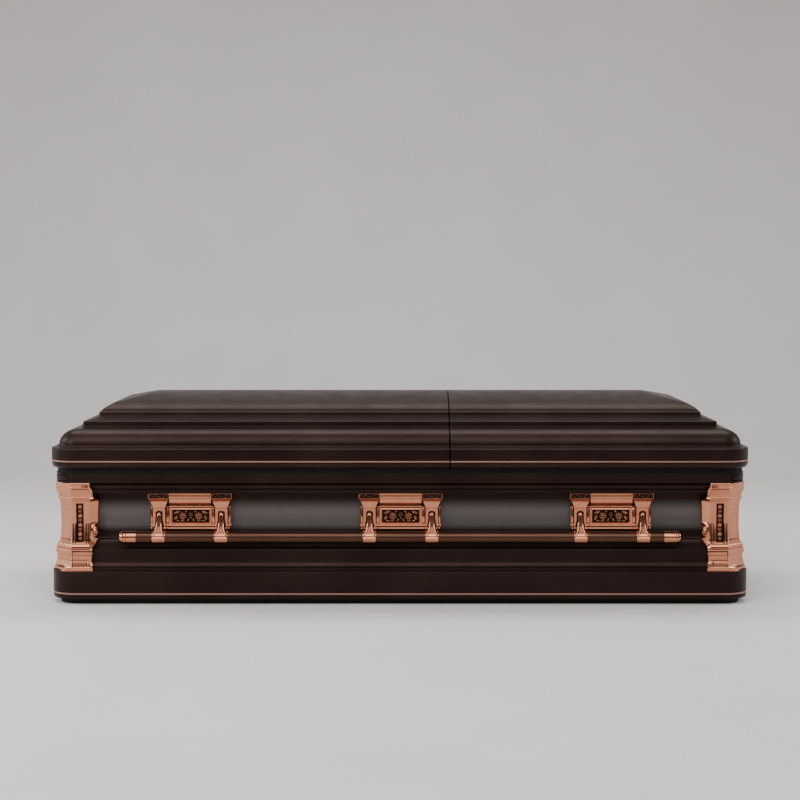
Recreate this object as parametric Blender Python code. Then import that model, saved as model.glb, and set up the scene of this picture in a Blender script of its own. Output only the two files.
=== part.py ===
"""Half-lid burial casket of moulded sheet metal: a hollow body with a stepped base, two lift-off
lids that meet at a split right of the middle, four cast corner ornaments and a long swing bar
along the front and along the back, each hung on three double-lug plates.

Units are metres, +Z is up, the front faces -Y and the origin is the middle of the underside.
"""
import math

import bmesh
import bpy
from mathutils import Matrix

# Overall plan
LENGTH = 2.136
WIDTH = 0.720
CORNER_RADIUS = 0.080
CORNER_STEPS = 4
INNER_STEPS = 2
CROWN_STEPS = 4
ROUND_SIDES = 10
SHEET = 0.0015
GAP = 0.0003
FLANGE = 0.012

# Heights, each counted up from the one before
STAND = 0.0165
BAND_HEIGHT = 0.0770
LEDGE_RISE = 0.0085
LOWER_COVE = 0.0275
LOWER_FLAT = 0.0385
UPPER_COVE = 0.0330
PANEL_HEIGHT = 0.1369
FASCIA_HEIGHT = 0.0135
BEAD_HEIGHT = 0.0192
RAIL_BAND = 0.0303
GASKET_HEIGHT = 0.0140
RIM_HEIGHT = 0.0600
FILLET_RISE = 0.0080
PILLOW_RISE = 0.0490
RISER_1 = 0.0206
LEDGE_2 = 0.0103
RISER_2 = 0.0158
CROWN_EDGE = 0.0253
CROWN_RISE = 0.0264

# Insets from the outer faces
PAN_INSET = 0.0225
PAN_WALL = 0.060
LEDGE_INSET = 0.0165
FOOT_RUN = 0.0060
FOOT_TURN = 0.0016
FOOT_RISE = 0.0090
COVE_INSET = 0.0300
UPPER_COVE_INSET = 0.0440
PANEL_INSET = 0.0560
PANEL_HOLLOW = 0.0100
FASCIA_INSET = 0.0310
BEAD_INSET = 0.0245
RAIL_INSET = 0.0140
GASKET_INSET = 0.0170
GASKET_WIDTH = 0.0140
RIM_RETURN = 0.0440
RIM_ROLL = 0.0090
RIM_ROLL_HEIGHT = 0.0190
PILLOW_INSET = 0.0230
PILLOW_RUN = 0.0620
RISER_1_INSET = 0.0920
RISER_2_INSET = 0.1330
CROWN_INSET = 0.1750
CROWN_END_RUN = 0.1195

# Lid split, right of the middle
SPLIT_X = 0.152
SPLIT_GAP = 0.0030
SPLIT_HEM = 0.0250

# Corner ornaments, measured along a face from the end of the casket
FACET_START = 0.0680
FACET_END = 0.1215
WING_END = 0.1480
CAST_WALL = 0.0040

# Swing bar and its plates
BAR_CLEAR = 0.0610
CAP_SPACE_LEFT = 0.0480
CAP_SPACE_RIGHT = 0.0430
PLATE_MIDDLE = 0.0020
LUG_OFFSET = 0.095
LUG_WIDTH = 0.0420
CAPITAL_WIDTH = 0.0650
LUG_FRONT = 0.0320
CAPITAL_FRONT = 0.0240
PLATE_HEIGHT = 0.1045
FRAME_FRONT = 0.0440
SLOT_WIDTH = 0.0155
SLOT_FLARE = 0.0290
STEM_WIDTH = 0.0140
STEM_RISE = 0.0500
STEM_THICKNESS = 0.0090
PIVOT_INSET = 0.0360
ROD_RADIUS = 0.0035
ROD_OVERHANG = 0.0060
BAR_RADIUS = 0.0180
BAR_INSET = 0.0200
BAR_DROP = 0.0250
CAP_LENGTH = 0.0560
CAP_RADIUS = 0.0205
COLLAR_RADIUS = 0.0210
COLLAR_WIDTH = 0.0400

# Heights that follow from the ones above
BAND_TOP = STAND + BAND_HEIGHT
LEDGE_Z = BAND_TOP + LEDGE_RISE
BASE_TOP = LEDGE_Z + LOWER_COVE + LOWER_FLAT + UPPER_COVE
PANEL_BOTTOM = BASE_TOP + GAP
PANEL_TOP = PANEL_BOTTOM + PANEL_HEIGHT
RAIL_BOTTOM = PANEL_TOP + GAP
CAP_LINE = RAIL_BOTTOM + FASCIA_HEIGHT + BEAD_HEIGHT
RAIL_TOP = CAP_LINE + RAIL_BAND
LID_UNDER = RAIL_TOP + GAP + GASKET_HEIGHT + GAP
PLATE_TOP = PANEL_TOP - GAP
PLATE_BOTTOM = PLATE_TOP - PLATE_HEIGHT
PIVOT_Z = PLATE_BOTTOM - ROD_RADIUS - GAP

# Places along the length that follow from the sizes above
BAR_HALF = LENGTH / 2 - WING_END - BAR_CLEAR
OUTER_ARM = BAR_HALF - CAP_LENGTH - COLLAR_WIDTH / 2
PLATE_XS = (CAP_SPACE_LEFT + LUG_OFFSET - OUTER_ARM, PLATE_MIDDLE,
            OUTER_ARM - CAP_SPACE_RIGHT - LUG_OFFSET)


def material(name, color, metallic, roughness):
    """One Principled material for each named piece."""
    mat = bpy.data.materials.new(name)
    mat.use_nodes = True
    shader = mat.node_tree.nodes["Principled BSDF"]
    shader.inputs["Base Color"].default_value = (*color, 1.0)
    shader.inputs["Metallic"].default_value = metallic
    shader.inputs["Roughness"].default_value = roughness
    mat.diffuse_color = (*color, 1.0)
    return mat


def add_object(name, bm, look, parent=None, origin=(0.0, 0.0, 0.0)):
    """Close a bmesh into a named object, moved so that its origin is the given point."""
    bmesh.ops.remove_doubles(bm, verts=bm.verts, dist=1e-6)
    bmesh.ops.dissolve_degenerate(bm, edges=bm.edges, dist=1e-6)
    bmesh.ops.recalc_face_normals(bm, faces=bm.faces)
    bmesh.ops.translate(bm, vec=[-c for c in origin], verts=bm.verts)
    mesh = bpy.data.meshes.new(name)
    bm.to_mesh(mesh)
    bm.free()
    mesh.materials.append(material(name + "_look", *look))
    obj = bpy.data.objects.new(name, mesh)
    bpy.context.scene.collection.objects.link(obj)
    obj.location = origin
    if parent is not None:
        obj.parent = parent
        obj.location = [o - p for o, p in zip(origin, parent.location)]
    return obj


def loft(rings, close_rings=False):
    """Skin equal rings of points; the ends are capped, or joined into a closed tube."""
    bm = bmesh.new()
    rows = [[bm.verts.new(p) for p in ring] for ring in rings]
    count = len(rows[0])
    pairs = list(zip(rows, rows[1:]))
    if close_rings:
        pairs.append((rows[-1], rows[0]))
    for low, high in pairs:
        for i in range(count):
            j = (i + 1) % count
            bm.faces.new((low[i], low[j], high[j], high[i]))
    if not close_rings:
        bm.faces.new(rows[0][::-1])
        bm.faces.new(rows[-1])
    return bm


def plan(inset_x, inset_y, z, steps=CORNER_STEPS):
    """The rounded rectangle of the casket's plan at an inset from its outer faces."""
    half_x = LENGTH / 2 - inset_x
    half_y = max(WIDTH / 2 - inset_y, 0.0)
    radius = max(CORNER_RADIUS - min(inset_x, inset_y), 0.010)
    radius = min(radius, half_y)
    points = []
    for quarter, (sx, sy) in enumerate(((1, 1), (-1, 1), (-1, -1), (1, -1))):
        for step in range(steps + 1):
            angle = math.pi / 2 * (quarter + step / steps)
            x = sx * (half_x - radius) + radius * math.cos(angle)
            y = sy * (half_y - radius) + radius * math.sin(angle)
            points.append((x, y, z))
    return points


def swept(profile):
    """Sweep a closed loop of (inset, height) points round the plan."""
    return loft([plan(inset, inset, z) for inset, z in profile], close_rings=True)


def boolean(target, cutter, operation):
    """Apply one exact boolean and drop the tool body."""
    mod = target.modifiers.new("cut", "BOOLEAN")
    mod.operation = operation
    mod.solver = "EXACT"
    mod.object = cutter
    cutter.hide_render = True
    cutter.display_type = "WIRE"
    bpy.context.view_layer.update()
    graph = bpy.context.evaluated_depsgraph_get()
    mesh = bpy.data.meshes.new_from_object(target.evaluated_get(graph))
    target.modifiers.remove(mod)
    old = target.data
    target.data = mesh
    bpy.data.meshes.remove(old)
    bpy.data.objects.remove(cutter)
    tidy = bmesh.new()
    tidy.from_mesh(mesh)
    bmesh.ops.remove_doubles(tidy, verts=tidy.verts, dist=1e-6)
    bmesh.ops.dissolve_limit(tidy, angle_limit=0.002, verts=tidy.verts, edges=tidy.edges)
    tidy.to_mesh(mesh)
    tidy.free()


def base_outer():
    """Outer face of the base moulding: band, ledge, cove, flat and upper cove."""
    low = LEDGE_Z + LOWER_COVE
    flat = low + LOWER_FLAT
    step = (UPPER_COVE_INSET - COVE_INSET) / 2
    return [
        (PAN_INSET - GAP, STAND),
        (FOOT_RUN, STAND),
        (FOOT_TURN, STAND + FOOT_RISE * 0.4),
        (0.0, STAND + FOOT_RISE),
        (0.0, BAND_TOP + LEDGE_RISE * 0.45),
        (0.0035, LEDGE_Z),
        (LEDGE_INSET, LEDGE_Z),
        (LEDGE_INSET + 0.003, LEDGE_Z + LOWER_COVE * 0.30),
        ((LEDGE_INSET + COVE_INSET) / 2 + 0.003, LEDGE_Z + LOWER_COVE * 0.62),
        (COVE_INSET, low),
        (COVE_INSET + 0.002, flat - 0.0035),
        (UPPER_COVE_INSET - step, flat),
        (UPPER_COVE_INSET, flat + UPPER_COVE * 0.20),
        ((UPPER_COVE_INSET + PANEL_INSET) / 2, flat + UPPER_COVE * 0.60),
        (PANEL_INSET - 0.001, BASE_TOP - 0.0035),
        (PANEL_INSET, BASE_TOP),
    ]


def panel_inset(z):
    """Inset of the hollow-faced side panel at a height."""
    share = (z - PANEL_BOTTOM) / PANEL_HEIGHT
    return PANEL_INSET + PANEL_HOLLOW * (1.0 - (2.0 * share - 1.0) ** 2)


def panel_outer():
    """Outer face of the side panel, slightly hollow between its two edges."""
    rows = [PANEL_BOTTOM + PANEL_HEIGHT * i / 3 for i in range(4)]
    return [(panel_inset(z), z) for z in rows]


def rail_outer():
    """Outer face of the top rail: fascia, groove, bead, groove and flat band."""
    bead = RAIL_BOTTOM + FASCIA_HEIGHT
    return [
        (FASCIA_INSET + 0.002, RAIL_BOTTOM),
        (FASCIA_INSET, bead - 0.0030),
        (FASCIA_INSET + 0.002, bead),
        (BEAD_INSET, bead + BEAD_HEIGHT * 0.25),
        (BEAD_INSET, bead + BEAD_HEIGHT * 0.60),
        (FASCIA_INSET, bead + BEAD_HEIGHT * 0.80),
        (FASCIA_INSET, CAP_LINE),
        (RAIL_INSET, CAP_LINE),
        (RAIL_INSET, RAIL_TOP - 0.0020),
        (RAIL_INSET + 0.002, RAIL_TOP),
    ]


def make_pan():
    """Shallow tray that carries the casket: flat floor on the ground and an upturned wall."""
    outer = PAN_INSET
    inner = PAN_INSET + SHEET
    rings = [
        plan(outer, outer, 0.0),
        plan(outer, outer, PAN_WALL),
        plan(inner, inner, PAN_WALL),
        plan(inner, inner, SHEET),
    ]
    return loft(rings)


def make_base():
    """Base moulding as one folded sheet with a bottom return and a top flange."""
    outer = base_outer()
    low = LEDGE_Z + LOWER_COVE
    flat = low + LOWER_FLAT
    inner = [
        (PANEL_INSET + FLANGE, BASE_TOP),
        (PANEL_INSET + FLANGE, BASE_TOP - SHEET),
        (PANEL_INSET + SHEET, BASE_TOP - SHEET),
        (PANEL_INSET + SHEET, BASE_TOP - UPPER_COVE * 0.4),
        (UPPER_COVE_INSET + 2 * SHEET, flat - SHEET),
        (COVE_INSET + 2 * SHEET, LEDGE_Z + LOWER_COVE * 0.45),
        (LEDGE_INSET + 2 * SHEET, LEDGE_Z - SHEET),
        (SHEET, LEDGE_Z - 2 * SHEET),
        (SHEET, STAND + FOOT_RISE),
        (FOOT_TURN + SHEET, STAND + FOOT_RISE * 0.4 + SHEET / 2),
        (FOOT_RUN + SHEET / 2, STAND + SHEET),
        (PAN_INSET - GAP, STAND + SHEET),
    ]
    return swept(outer + inner)


def make_panel():
    """Side panel as one sheet all the way round, with a flange along each edge."""
    outer = panel_outer()
    inner = [(inset + SHEET, z) for inset, z in reversed(outer)]
    inner[0] = (PANEL_INSET + SHEET, PANEL_TOP - SHEET)
    inner[-1] = (PANEL_INSET + SHEET, PANEL_BOTTOM + SHEET)
    top = [(PANEL_INSET + FLANGE, PANEL_TOP), (PANEL_INSET + FLANGE, PANEL_TOP - SHEET)]
    bottom = [(PANEL_INSET + FLANGE, PANEL_BOTTOM + SHEET), (PANEL_INSET + FLANGE, PANEL_BOTTOM)]
    return swept(outer + top + inner + bottom)


def make_rail():
    """Top rail as one folded sheet: a moulded front, a seat for the gasket and a bottom return."""
    seat = GASKET_INSET + GASKET_WIDTH + 0.012
    inner = [
        (seat, RAIL_TOP),
        (seat, RAIL_TOP - SHEET),
        (RAIL_INSET + 2 * SHEET, RAIL_TOP - 2 * SHEET),
        (RAIL_INSET + 2 * SHEET, CAP_LINE + SHEET),
        (FASCIA_INSET + 2 * SHEET, CAP_LINE + SHEET),
        (FASCIA_INSET + 2 * SHEET, RAIL_BOTTOM + SHEET),
        (PANEL_INSET + FLANGE, RAIL_BOTTOM + SHEET),
        (PANEL_INSET + FLANGE, RAIL_BOTTOM),
    ]
    return swept(rail_outer() + inner)


def make_gasket():
    """Dark sealing strip between the rail and the lids."""
    inner = GASKET_INSET + GASKET_WIDTH
    low = RAIL_TOP + GAP
    high = low + GASKET_HEIGHT
    return swept([(GASKET_INSET, low), (GASKET_INSET, high), (inner, high), (inner, low)])


def lid_outer():
    """Outer face of the lid from its underside to the edge of the crown, as (inset, height)."""
    rim = LID_UNDER + RIM_HEIGHT
    pillow = rim + FILLET_RISE
    points = [
        (RIM_ROLL, LID_UNDER),
        (RIM_ROLL * 0.33, LID_UNDER + RIM_ROLL_HEIGHT * 0.32),
        (0.0, LID_UNDER + RIM_ROLL_HEIGHT),
        (0.0, rim - 0.0040),
        (0.0030, rim),
        (0.0120, rim + FILLET_RISE * 0.35),
        (PILLOW_INSET - 0.003, rim + FILLET_RISE * 0.90),
    ]
    for step in range(6):
        turn = math.pi / 2 * step / 5
        run = PILLOW_RUN * (1.0 - math.cos(turn))
        points.append((PILLOW_INSET + run, pillow + PILLOW_RISE * math.sin(turn)))
    riser = pillow + PILLOW_RISE
    ledge = riser + RISER_1
    second = ledge + LEDGE_2
    crown = second + RISER_2
    points += [
        (RISER_1_INSET - 0.003, riser + RISER_1 * 0.16),
        (RISER_1_INSET, riser + RISER_1 * 0.34),
        (RISER_1_INSET + 0.004, ledge),
        (RISER_2_INSET - 0.018, ledge + LEDGE_2 * 0.45),
        (RISER_2_INSET, second),
        (RISER_2_INSET + 0.005, crown),
        (RISER_2_INSET + 0.012, crown + CROWN_EDGE * 0.20),
        (RISER_2_INSET + 0.022, crown + CROWN_EDGE * 0.50),
        (CROWN_INSET, crown + CROWN_EDGE),
    ]
    return points


def crown_rings(z, start, drop, corner_steps):
    """Rings of the crown: a barrel vault front to back with straight sloping ends."""
    rings = []
    for step in range(1, CROWN_STEPS + 1):
        share = step / CROWN_STEPS
        rise = 2.0 * share - share * share
        inset_y = start + (WIDTH / 2 - start) * share
        inset_x = start + CROWN_END_RUN * rise
        rings.append(plan(inset_x, inset_y, z - drop + CROWN_RISE * rise, corner_steps))
    return rings


def lid_block(x_low, x_high):
    """The lid's outer form as one closed block between two upright planes."""
    profile = lid_outer()
    rings = [plan(inset, inset, z) for inset, z in profile]
    rings += crown_rings(profile[-1][1], CROWN_INSET, 0.0, CORNER_STEPS)
    return trimmed(loft(rings), x_low, x_high)


def lid_hollow(x_low, x_high):
    """The space under the lid, one sheet inside the outer form."""
    profile = lid_outer()
    rim = LID_UNDER + RIM_HEIGHT
    turn_in = LID_UNDER + SHEET
    bulge = profile[10]
    shoulder = profile[12]
    ledge = profile[15]
    second = profile[17]
    crown = profile[-1]
    path = [
        (RIM_ROLL + SHEET, turn_in),
        (SHEET, LID_UNDER + RIM_ROLL_HEIGHT),
        (SHEET, rim - 0.006),
        (PILLOW_INSET + SHEET, rim - 0.002),
        (PILLOW_INSET + 2 * SHEET, rim + FILLET_RISE),
        (bulge[0] + 2 * SHEET, bulge[1] - 3 * SHEET),
        (shoulder[0] + 3 * SHEET, shoulder[1] - SHEET),
        (RISER_1_INSET + 2 * SHEET, shoulder[1] + SHEET),
        (ledge[0] + SHEET, ledge[1] - SHEET),
        (second[0] + SHEET, second[1] - 2 * SHEET),
        (RISER_2_INSET + 0.007, crown[1] - CROWN_EDGE - SHEET),
        (crown[0] + SHEET, crown[1] - 2 * SHEET),
    ]
    rings = [plan(inset, inset, z, INNER_STEPS) for inset, z in path]
    rings += crown_rings(crown[1], CROWN_INSET + SHEET, 2 * SHEET, INNER_STEPS)
    return trimmed(loft(rings), x_low, x_high)


def trimmed(bm, x_low, x_high):
    """Keep what lies between two upright planes and close the cut faces."""
    bmesh.ops.remove_doubles(bm, verts=bm.verts, dist=1e-6)
    bmesh.ops.dissolve_degenerate(bm, edges=bm.edges, dist=1e-6)
    for x, normal in ((x_low, (-1, 0, 0)), (x_high, (1, 0, 0))):
        if x is None:
            continue
        geom = bm.verts[:] + bm.edges[:] + bm.faces[:]
        bmesh.ops.bisect_plane(bm, geom=geom, plane_co=(x, 0, 0), plane_no=normal,
                               clear_outer=True)
        rim = [e for e in bm.edges if e.is_boundary]
        bmesh.ops.holes_fill(bm, edges=rim, sides=0)
    return bm


def make_lid(name, side, look):
    """One lid: the outer block less its hollow, open below inside a narrow turned-in flange."""
    cut = SPLIT_X + side * SPLIT_GAP / 2
    low, high = (None, cut) if side < 0 else (cut, None)
    lid = add_object(name, lid_block(low, high), look)
    inside = cut + side * SHEET
    low, high = (None, inside) if side < 0 else (inside, None)
    boolean(lid, add_object("hollow", lid_hollow(low, high), look), "DIFFERENCE")
    hem = cut + side * SPLIT_HEM
    rings = []
    for z in (LID_UNDER - 0.01, LID_UNDER + 2.5 * SHEET):
        rings.append(plan(RIM_RETURN, RIM_RETURN, z, INNER_STEPS))
    low, high = (None, hem) if side < 0 else (hem, None)
    boolean(lid, add_object("mouth", trimmed(loft(rings), low, high), look), "DIFFERENCE")
    return lid


def body_face(z_low, z_high):
    """Smallest inset of the body's outer face between two heights."""
    face = base_outer()[6:] + panel_outer() + rail_outer()[:7]
    found = []
    for (inset_a, z_a), (inset_b, z_b) in zip(face, face[1:]):
        low = max(min(z_a, z_b), z_low)
        high = min(max(z_a, z_b), z_high)
        if low > high:
            continue
        span = z_b - z_a
        for z in (low, high):
            share = (z - z_a) / span if abs(span) > 1e-9 else 1.0
            found.append(inset_a + (inset_b - inset_a) * min(max(share, 0.0), 1.0))
    return min(found)


def ornament_levels():
    """Levels of a corner ornament: share of its height, face inset, side reach, side inset."""
    return [
        (0.000, 0.0060, 0.40, 0.0060),
        (0.045, 0.0065, 0.40, 0.0065),
        (0.110, 0.0125, 0.25, 0.0125),
        (0.262, 0.0105, 0.28, 0.0105),
        (0.300, 0.0205, 0.56, 0.0300),
        (0.355, 0.0235, 0.93, 0.0380),
        (0.440, 0.0260, 0.93, 0.0210),
        (0.500, 0.0275, 0.92, 0.0240),
        (0.545, 0.0275, 0.92, 0.0460),
        (0.780, 0.0250, 1.00, 0.0460),
        (0.815, 0.0185, 0.50, 0.0185),
        (0.860, 0.0195, 0.37, 0.0195),
        (0.930, 0.0115, 0.25, 0.0115),
        (1.000, 0.0125, 0.14, 0.0125),
    ]


def make_ornament(sign_x, sign_y):
    """Cast corner post: plinth, beaded base, faceted shaft with side wings, neck and cap."""
    bottom = LEDGE_Z + GAP
    height = CAP_LINE - GAP - bottom
    table = ornament_levels()
    zs = [bottom + height * row[0] for row in table]
    rings = []
    for index, (share, face, reach, side) in enumerate(table):
        z = zs[index]
        z_low = zs[max(index - 1, 0)]
        z_high = zs[min(index + 1, len(zs) - 1)]
        back = body_face(z_low, z_high) - GAP
        face = min(face, back - CAST_WALL)
        side = min(side, back - 0.006)
        edge = FACET_END + (WING_END - FACET_END) * reach
        shoulder = side if side < face else face + (side - face) * 0.65
        half = [
            (edge, back),
            (edge, side),
            (edge - (edge - FACET_END) * 0.35, shoulder),
            (FACET_END, face),
            (FACET_START, face),
        ]
        radius = CORNER_RADIUS - back
        flat = (FACET_START + face) / 2
        bowed = CORNER_RADIUS - (radius + CAST_WALL) / math.sqrt(2)
        middle = min(flat, bowed)
        outer = [(LENGTH / 2 - s, WIDTH / 2 - i) for s, i in half]
        outer.append((LENGTH / 2 - middle, WIDTH / 2 - middle))
        outer += [(LENGTH / 2 - i, WIDTH / 2 - s) for s, i in reversed(half)]
        inner = []
        for step in range(CORNER_STEPS + 1):
            angle = math.pi / 2 * step / CORNER_STEPS
            x = LENGTH / 2 - CORNER_RADIUS + radius * math.cos(angle)
            y = WIDTH / 2 - CORNER_RADIUS + radius * math.sin(angle)
            inner.append((x, y))
        rings.append([(sign_x * x, sign_y * y, z) for x, y in outer + inner])
    return loft(rings)


def stack(levels, sign_y):
    """Loft of upright rectangles: (height, x low, x high, front inset, back inset) per level."""
    rings = []
    for z, x0, x1, front, back in levels:
        y0 = sign_y * (WIDTH / 2 - front)
        y1 = sign_y * (WIDTH / 2 - back)
        rings.append([(x0, y0, z), (x1, y0, z), (x1, y1, z), (x0, y1, z)])
    return loft(rings)


def back_of(z):
    """Back of a plate at a height, one clearance off the straight runs of the side panel."""
    face = panel_outer()
    for (inset_a, z_a), (inset_b, z_b) in zip(face, face[1:]):
        if z_a <= z <= z_b:
            return inset_a + (inset_b - inset_a) * (z - z_a) / (z_b - z_a) - GAP
    return PANEL_INSET - GAP


def make_plate(name, x, sign_y, look):
    """Double-lug plate: two lugs with capitals, a moulded bridge and a framed panel between."""
    top = PLATE_TOP
    bottom = PLATE_BOTTOM
    mid = PANEL_BOTTOM + PANEL_HEIGHT / 2
    neck = top - 0.044
    plate = None
    for side in (-1, 1):
        c = x + side * LUG_OFFSET
        half = LUG_WIDTH / 2
        wide = CAPITAL_WIDTH / 2
        levels = [
            (bottom, c - half, c + half, LUG_FRONT, back_of(bottom)),
            (mid, c - half, c + half, LUG_FRONT, back_of(mid)),
            (neck, c - half, c + half, LUG_FRONT, back_of(neck)),
            (neck + 0.020, c - half - 0.005, c + half + 0.005, LUG_FRONT - 0.004,
             back_of(neck + 0.020)),
            (top - 0.014, c - wide, c + wide, CAPITAL_FRONT, back_of(top - 0.014)),
            (top, c - wide, c + wide, CAPITAL_FRONT, back_of(top)),
        ]
        lug = add_object(name if side < 0 else "lug", stack(levels, sign_y), look)
        if plate is None:
            plate = lug
        else:
            boolean(plate, lug, "UNION")
    reach = LUG_OFFSET - LUG_WIDTH / 4
    bridge = [
        (top - 0.034, x - reach, x + reach, FRAME_FRONT - 0.006, PANEL_INSET - 0.004),
        (top - 0.018, x - reach, x + reach, FRAME_FRONT - 0.010, PANEL_INSET - 0.004),
        (top - 0.010, x - reach, x + reach, LUG_FRONT - 0.004, PANEL_INSET - 0.004),
        (top - 0.0005, x - reach, x + reach, LUG_FRONT - 0.004, PANEL_INSET - 0.004),
    ]
    boolean(plate, add_object("bridge", stack(bridge, sign_y), look), "UNION")
    frame = [
        (bottom + 0.010, x - reach, x + reach, FRAME_FRONT, PANEL_INSET - 0.003),
        (top - 0.030, x - reach, x + reach, FRAME_FRONT, PANEL_INSET - 0.003),
    ]
    boolean(plate, add_object("frame", stack(frame, sign_y), look), "UNION")
    for side in (-1, 1):
        c = x + side * LUG_OFFSET
        half = SLOT_WIDTH / 2
        crown = PIVOT_Z + STEM_RISE + STEM_THICKNESS / 2 + GAP - half * 0.4
        slot = []
        for step in range(7):
            angle = math.pi * step / 6
            slot.append((half * math.cos(angle), crown + half * math.sin(angle)))
        foot = bottom - 0.004
        slot += [(-half, bottom + PLATE_HEIGHT * 0.28), (-SLOT_FLARE / 2, foot)]
        slot += [(SLOT_FLARE / 2, foot), (half, bottom + PLATE_HEIGHT * 0.28)]
        rings = []
        for inset in (CAPITAL_FRONT - 0.01, PANEL_INSET + PANEL_HOLLOW + 0.004):
            y = sign_y * (WIDTH / 2 - inset)
            rings.append([(c + px, y, z) for px, z in slot])
        boolean(plate, add_object("slot", loft(rings), look), "DIFFERENCE")
    return plate


def rod_between(x0, x1, y, z, radius, sides, name, look, parent=None, origin=(0, 0, 0)):
    """A straight round rod along X."""
    rings = []
    for x in (x0, x1):
        ring = []
        for i in range(sides):
            angle = 2 * math.pi * (i + 0.5) / sides
            ring.append((x, y + radius * math.cos(angle), z + radius * math.sin(angle)))
        rings.append(ring)
    return add_object(name, loft(rings), look, parent, origin)


def make_arm(name, x, sign_y, look, parent, origin):
    """Swing arm: a stem hooked on the rod, a flared saddle and a collar on the bar."""
    def at(inset):
        return sign_y * (WIDTH / 2 - inset)
    bar_z = PIVOT_Z - BAR_DROP
    half = STEM_WIDTH / 2
    round_top = STEM_THICKNESS / 2
    notch = ROD_RADIUS + 2 * GAP
    top_inset = LUG_FRONT - 0.002
    profile = []
    for step in range(5):
        angle = math.pi * step / 4
        profile.append((top_inset + round_top * math.cos(angle),
                        PIVOT_Z + STEM_RISE - round_top * (1.0 - math.sin(angle))))
    profile += [
        (LUG_FRONT - 0.0085, PIVOT_Z + 0.027),
        (BAR_INSET - 0.004, bar_z + 0.010),
        (BAR_INSET + 0.012, bar_z + 0.004),
        (PIVOT_INSET + notch, PIVOT_Z - notch - 0.004),
        (PIVOT_INSET + notch, PIVOT_Z - notch),
        (PIVOT_INSET - notch, PIVOT_Z - notch),
        (PIVOT_INSET - notch, PIVOT_Z + notch),
        (PIVOT_INSET + notch, PIVOT_Z + notch),
        (PIVOT_INSET + notch, PIVOT_Z + notch + 0.004),
    ]
    rings = [[(x + dx, at(i), z) for i, z in profile] for dx in (-half, half)]
    arm = add_object(name, loft(rings), look)
    flare = [
        (bar_z + 0.010, x - COLLAR_WIDTH / 2, x + COLLAR_WIDTH / 2, BAR_INSET - 0.0195,
         BAR_INSET + 0.008),
        (bar_z + 0.022, x - COLLAR_WIDTH * 0.36, x + COLLAR_WIDTH * 0.36, BAR_INSET - 0.010,
         BAR_INSET + 0.007),
        (bar_z + 0.034, x - COLLAR_WIDTH * 0.24, x + COLLAR_WIDTH * 0.24, BAR_INSET - 0.002,
         BAR_INSET + 0.009),
        (bar_z + 0.050, x - half - 0.0004, x + half + 0.0004, LUG_FRONT - 0.009,
         LUG_FRONT - 0.002),
    ]
    boolean(arm, add_object("flare", stack(flare, sign_y), look), "UNION")
    width = COLLAR_WIDTH / 2
    collar = rod_between(x - width, x + width, at(BAR_INSET), bar_z, COLLAR_RADIUS,
                         ROUND_SIDES, "collar", look)
    boolean(arm, collar, "UNION")
    bore = rod_between(x - 0.05, x + 0.05, at(BAR_INSET), bar_z, BAR_RADIUS + GAP, ROUND_SIDES,
                       "bore", look)
    boolean(arm, bore, "DIFFERENCE")
    arm.data.transform(Matrix.Translation([-c for c in origin]))
    arm.parent = parent
    return arm


def make_cap(name, side, y, z, look, parent, origin):
    """Domed end cap with a ring at its inner edge, sleeved over the end of the bar."""
    start = side * (BAR_HALF - CAP_LENGTH)
    end = side * BAR_HALF
    core = CAP_RADIUS
    stations = [
        (start, BAR_RADIUS + GAP),
        (start, core),
        (end - side * 0.020, core),
        (end - side * 0.014, core + 0.001),
        (end - side * 0.006, core * 0.86),
        (end, core * 0.42),
    ]
    inner = [(end - side * 0.012, BAR_RADIUS + GAP)]
    rings = []
    for x, radius in inner + stations:
        ring = []
        for i in range(ROUND_SIDES):
            angle = 2 * math.pi * (i + 0.5) / ROUND_SIDES
            ring.append((x, y + radius * math.cos(angle), z + radius * math.sin(angle)))
        rings.append(ring)
    return add_object(name, loft(rings), look, parent, origin)


def make_handle(label, sign_y, cast):
    """One swing bar with its caps, arms, plates and stretcher rods."""
    y_pivot = sign_y * (WIDTH / 2 - PIVOT_INSET)
    y_bar = sign_y * (WIDTH / 2 - BAR_INSET)
    bar_z = PIVOT_Z - BAR_DROP
    origin = (0.0, y_pivot, PIVOT_Z)
    axis = bpy.data.objects.new(label + "_axis", None)
    axis.location = origin
    bpy.context.scene.collection.objects.link(axis)
    bronze = ((0.16, 0.09, 0.065), 1.0, 0.32)
    reach = BAR_HALF - 0.012 - GAP
    rod_between(-reach, reach, y_bar, bar_z, BAR_RADIUS, ROUND_SIDES, label + "_bar",
                bronze, axis, origin)
    for word, side in (("left", -1), ("right", 1)):
        make_cap(label + "_bar_cap_" + word, side, y_bar, bar_z, cast, axis, origin)
    for spot, x in zip(("left", "middle", "right"), PLATE_XS):
        make_plate(label + "_plate_" + spot, x, sign_y, cast)
        reach = LUG_OFFSET + LUG_WIDTH / 2 + ROD_OVERHANG
        rod_between(x - reach, x + reach, y_pivot, PIVOT_Z, ROD_RADIUS, 6,
                    label + "_rod_" + spot, cast)
        for number, side in ((1, -1), (2, 1)):
            name = label + "_arm_" + spot + "_" + str(number)
            make_arm(name, x + side * LUG_OFFSET, sign_y, cast, axis, origin)


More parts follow.
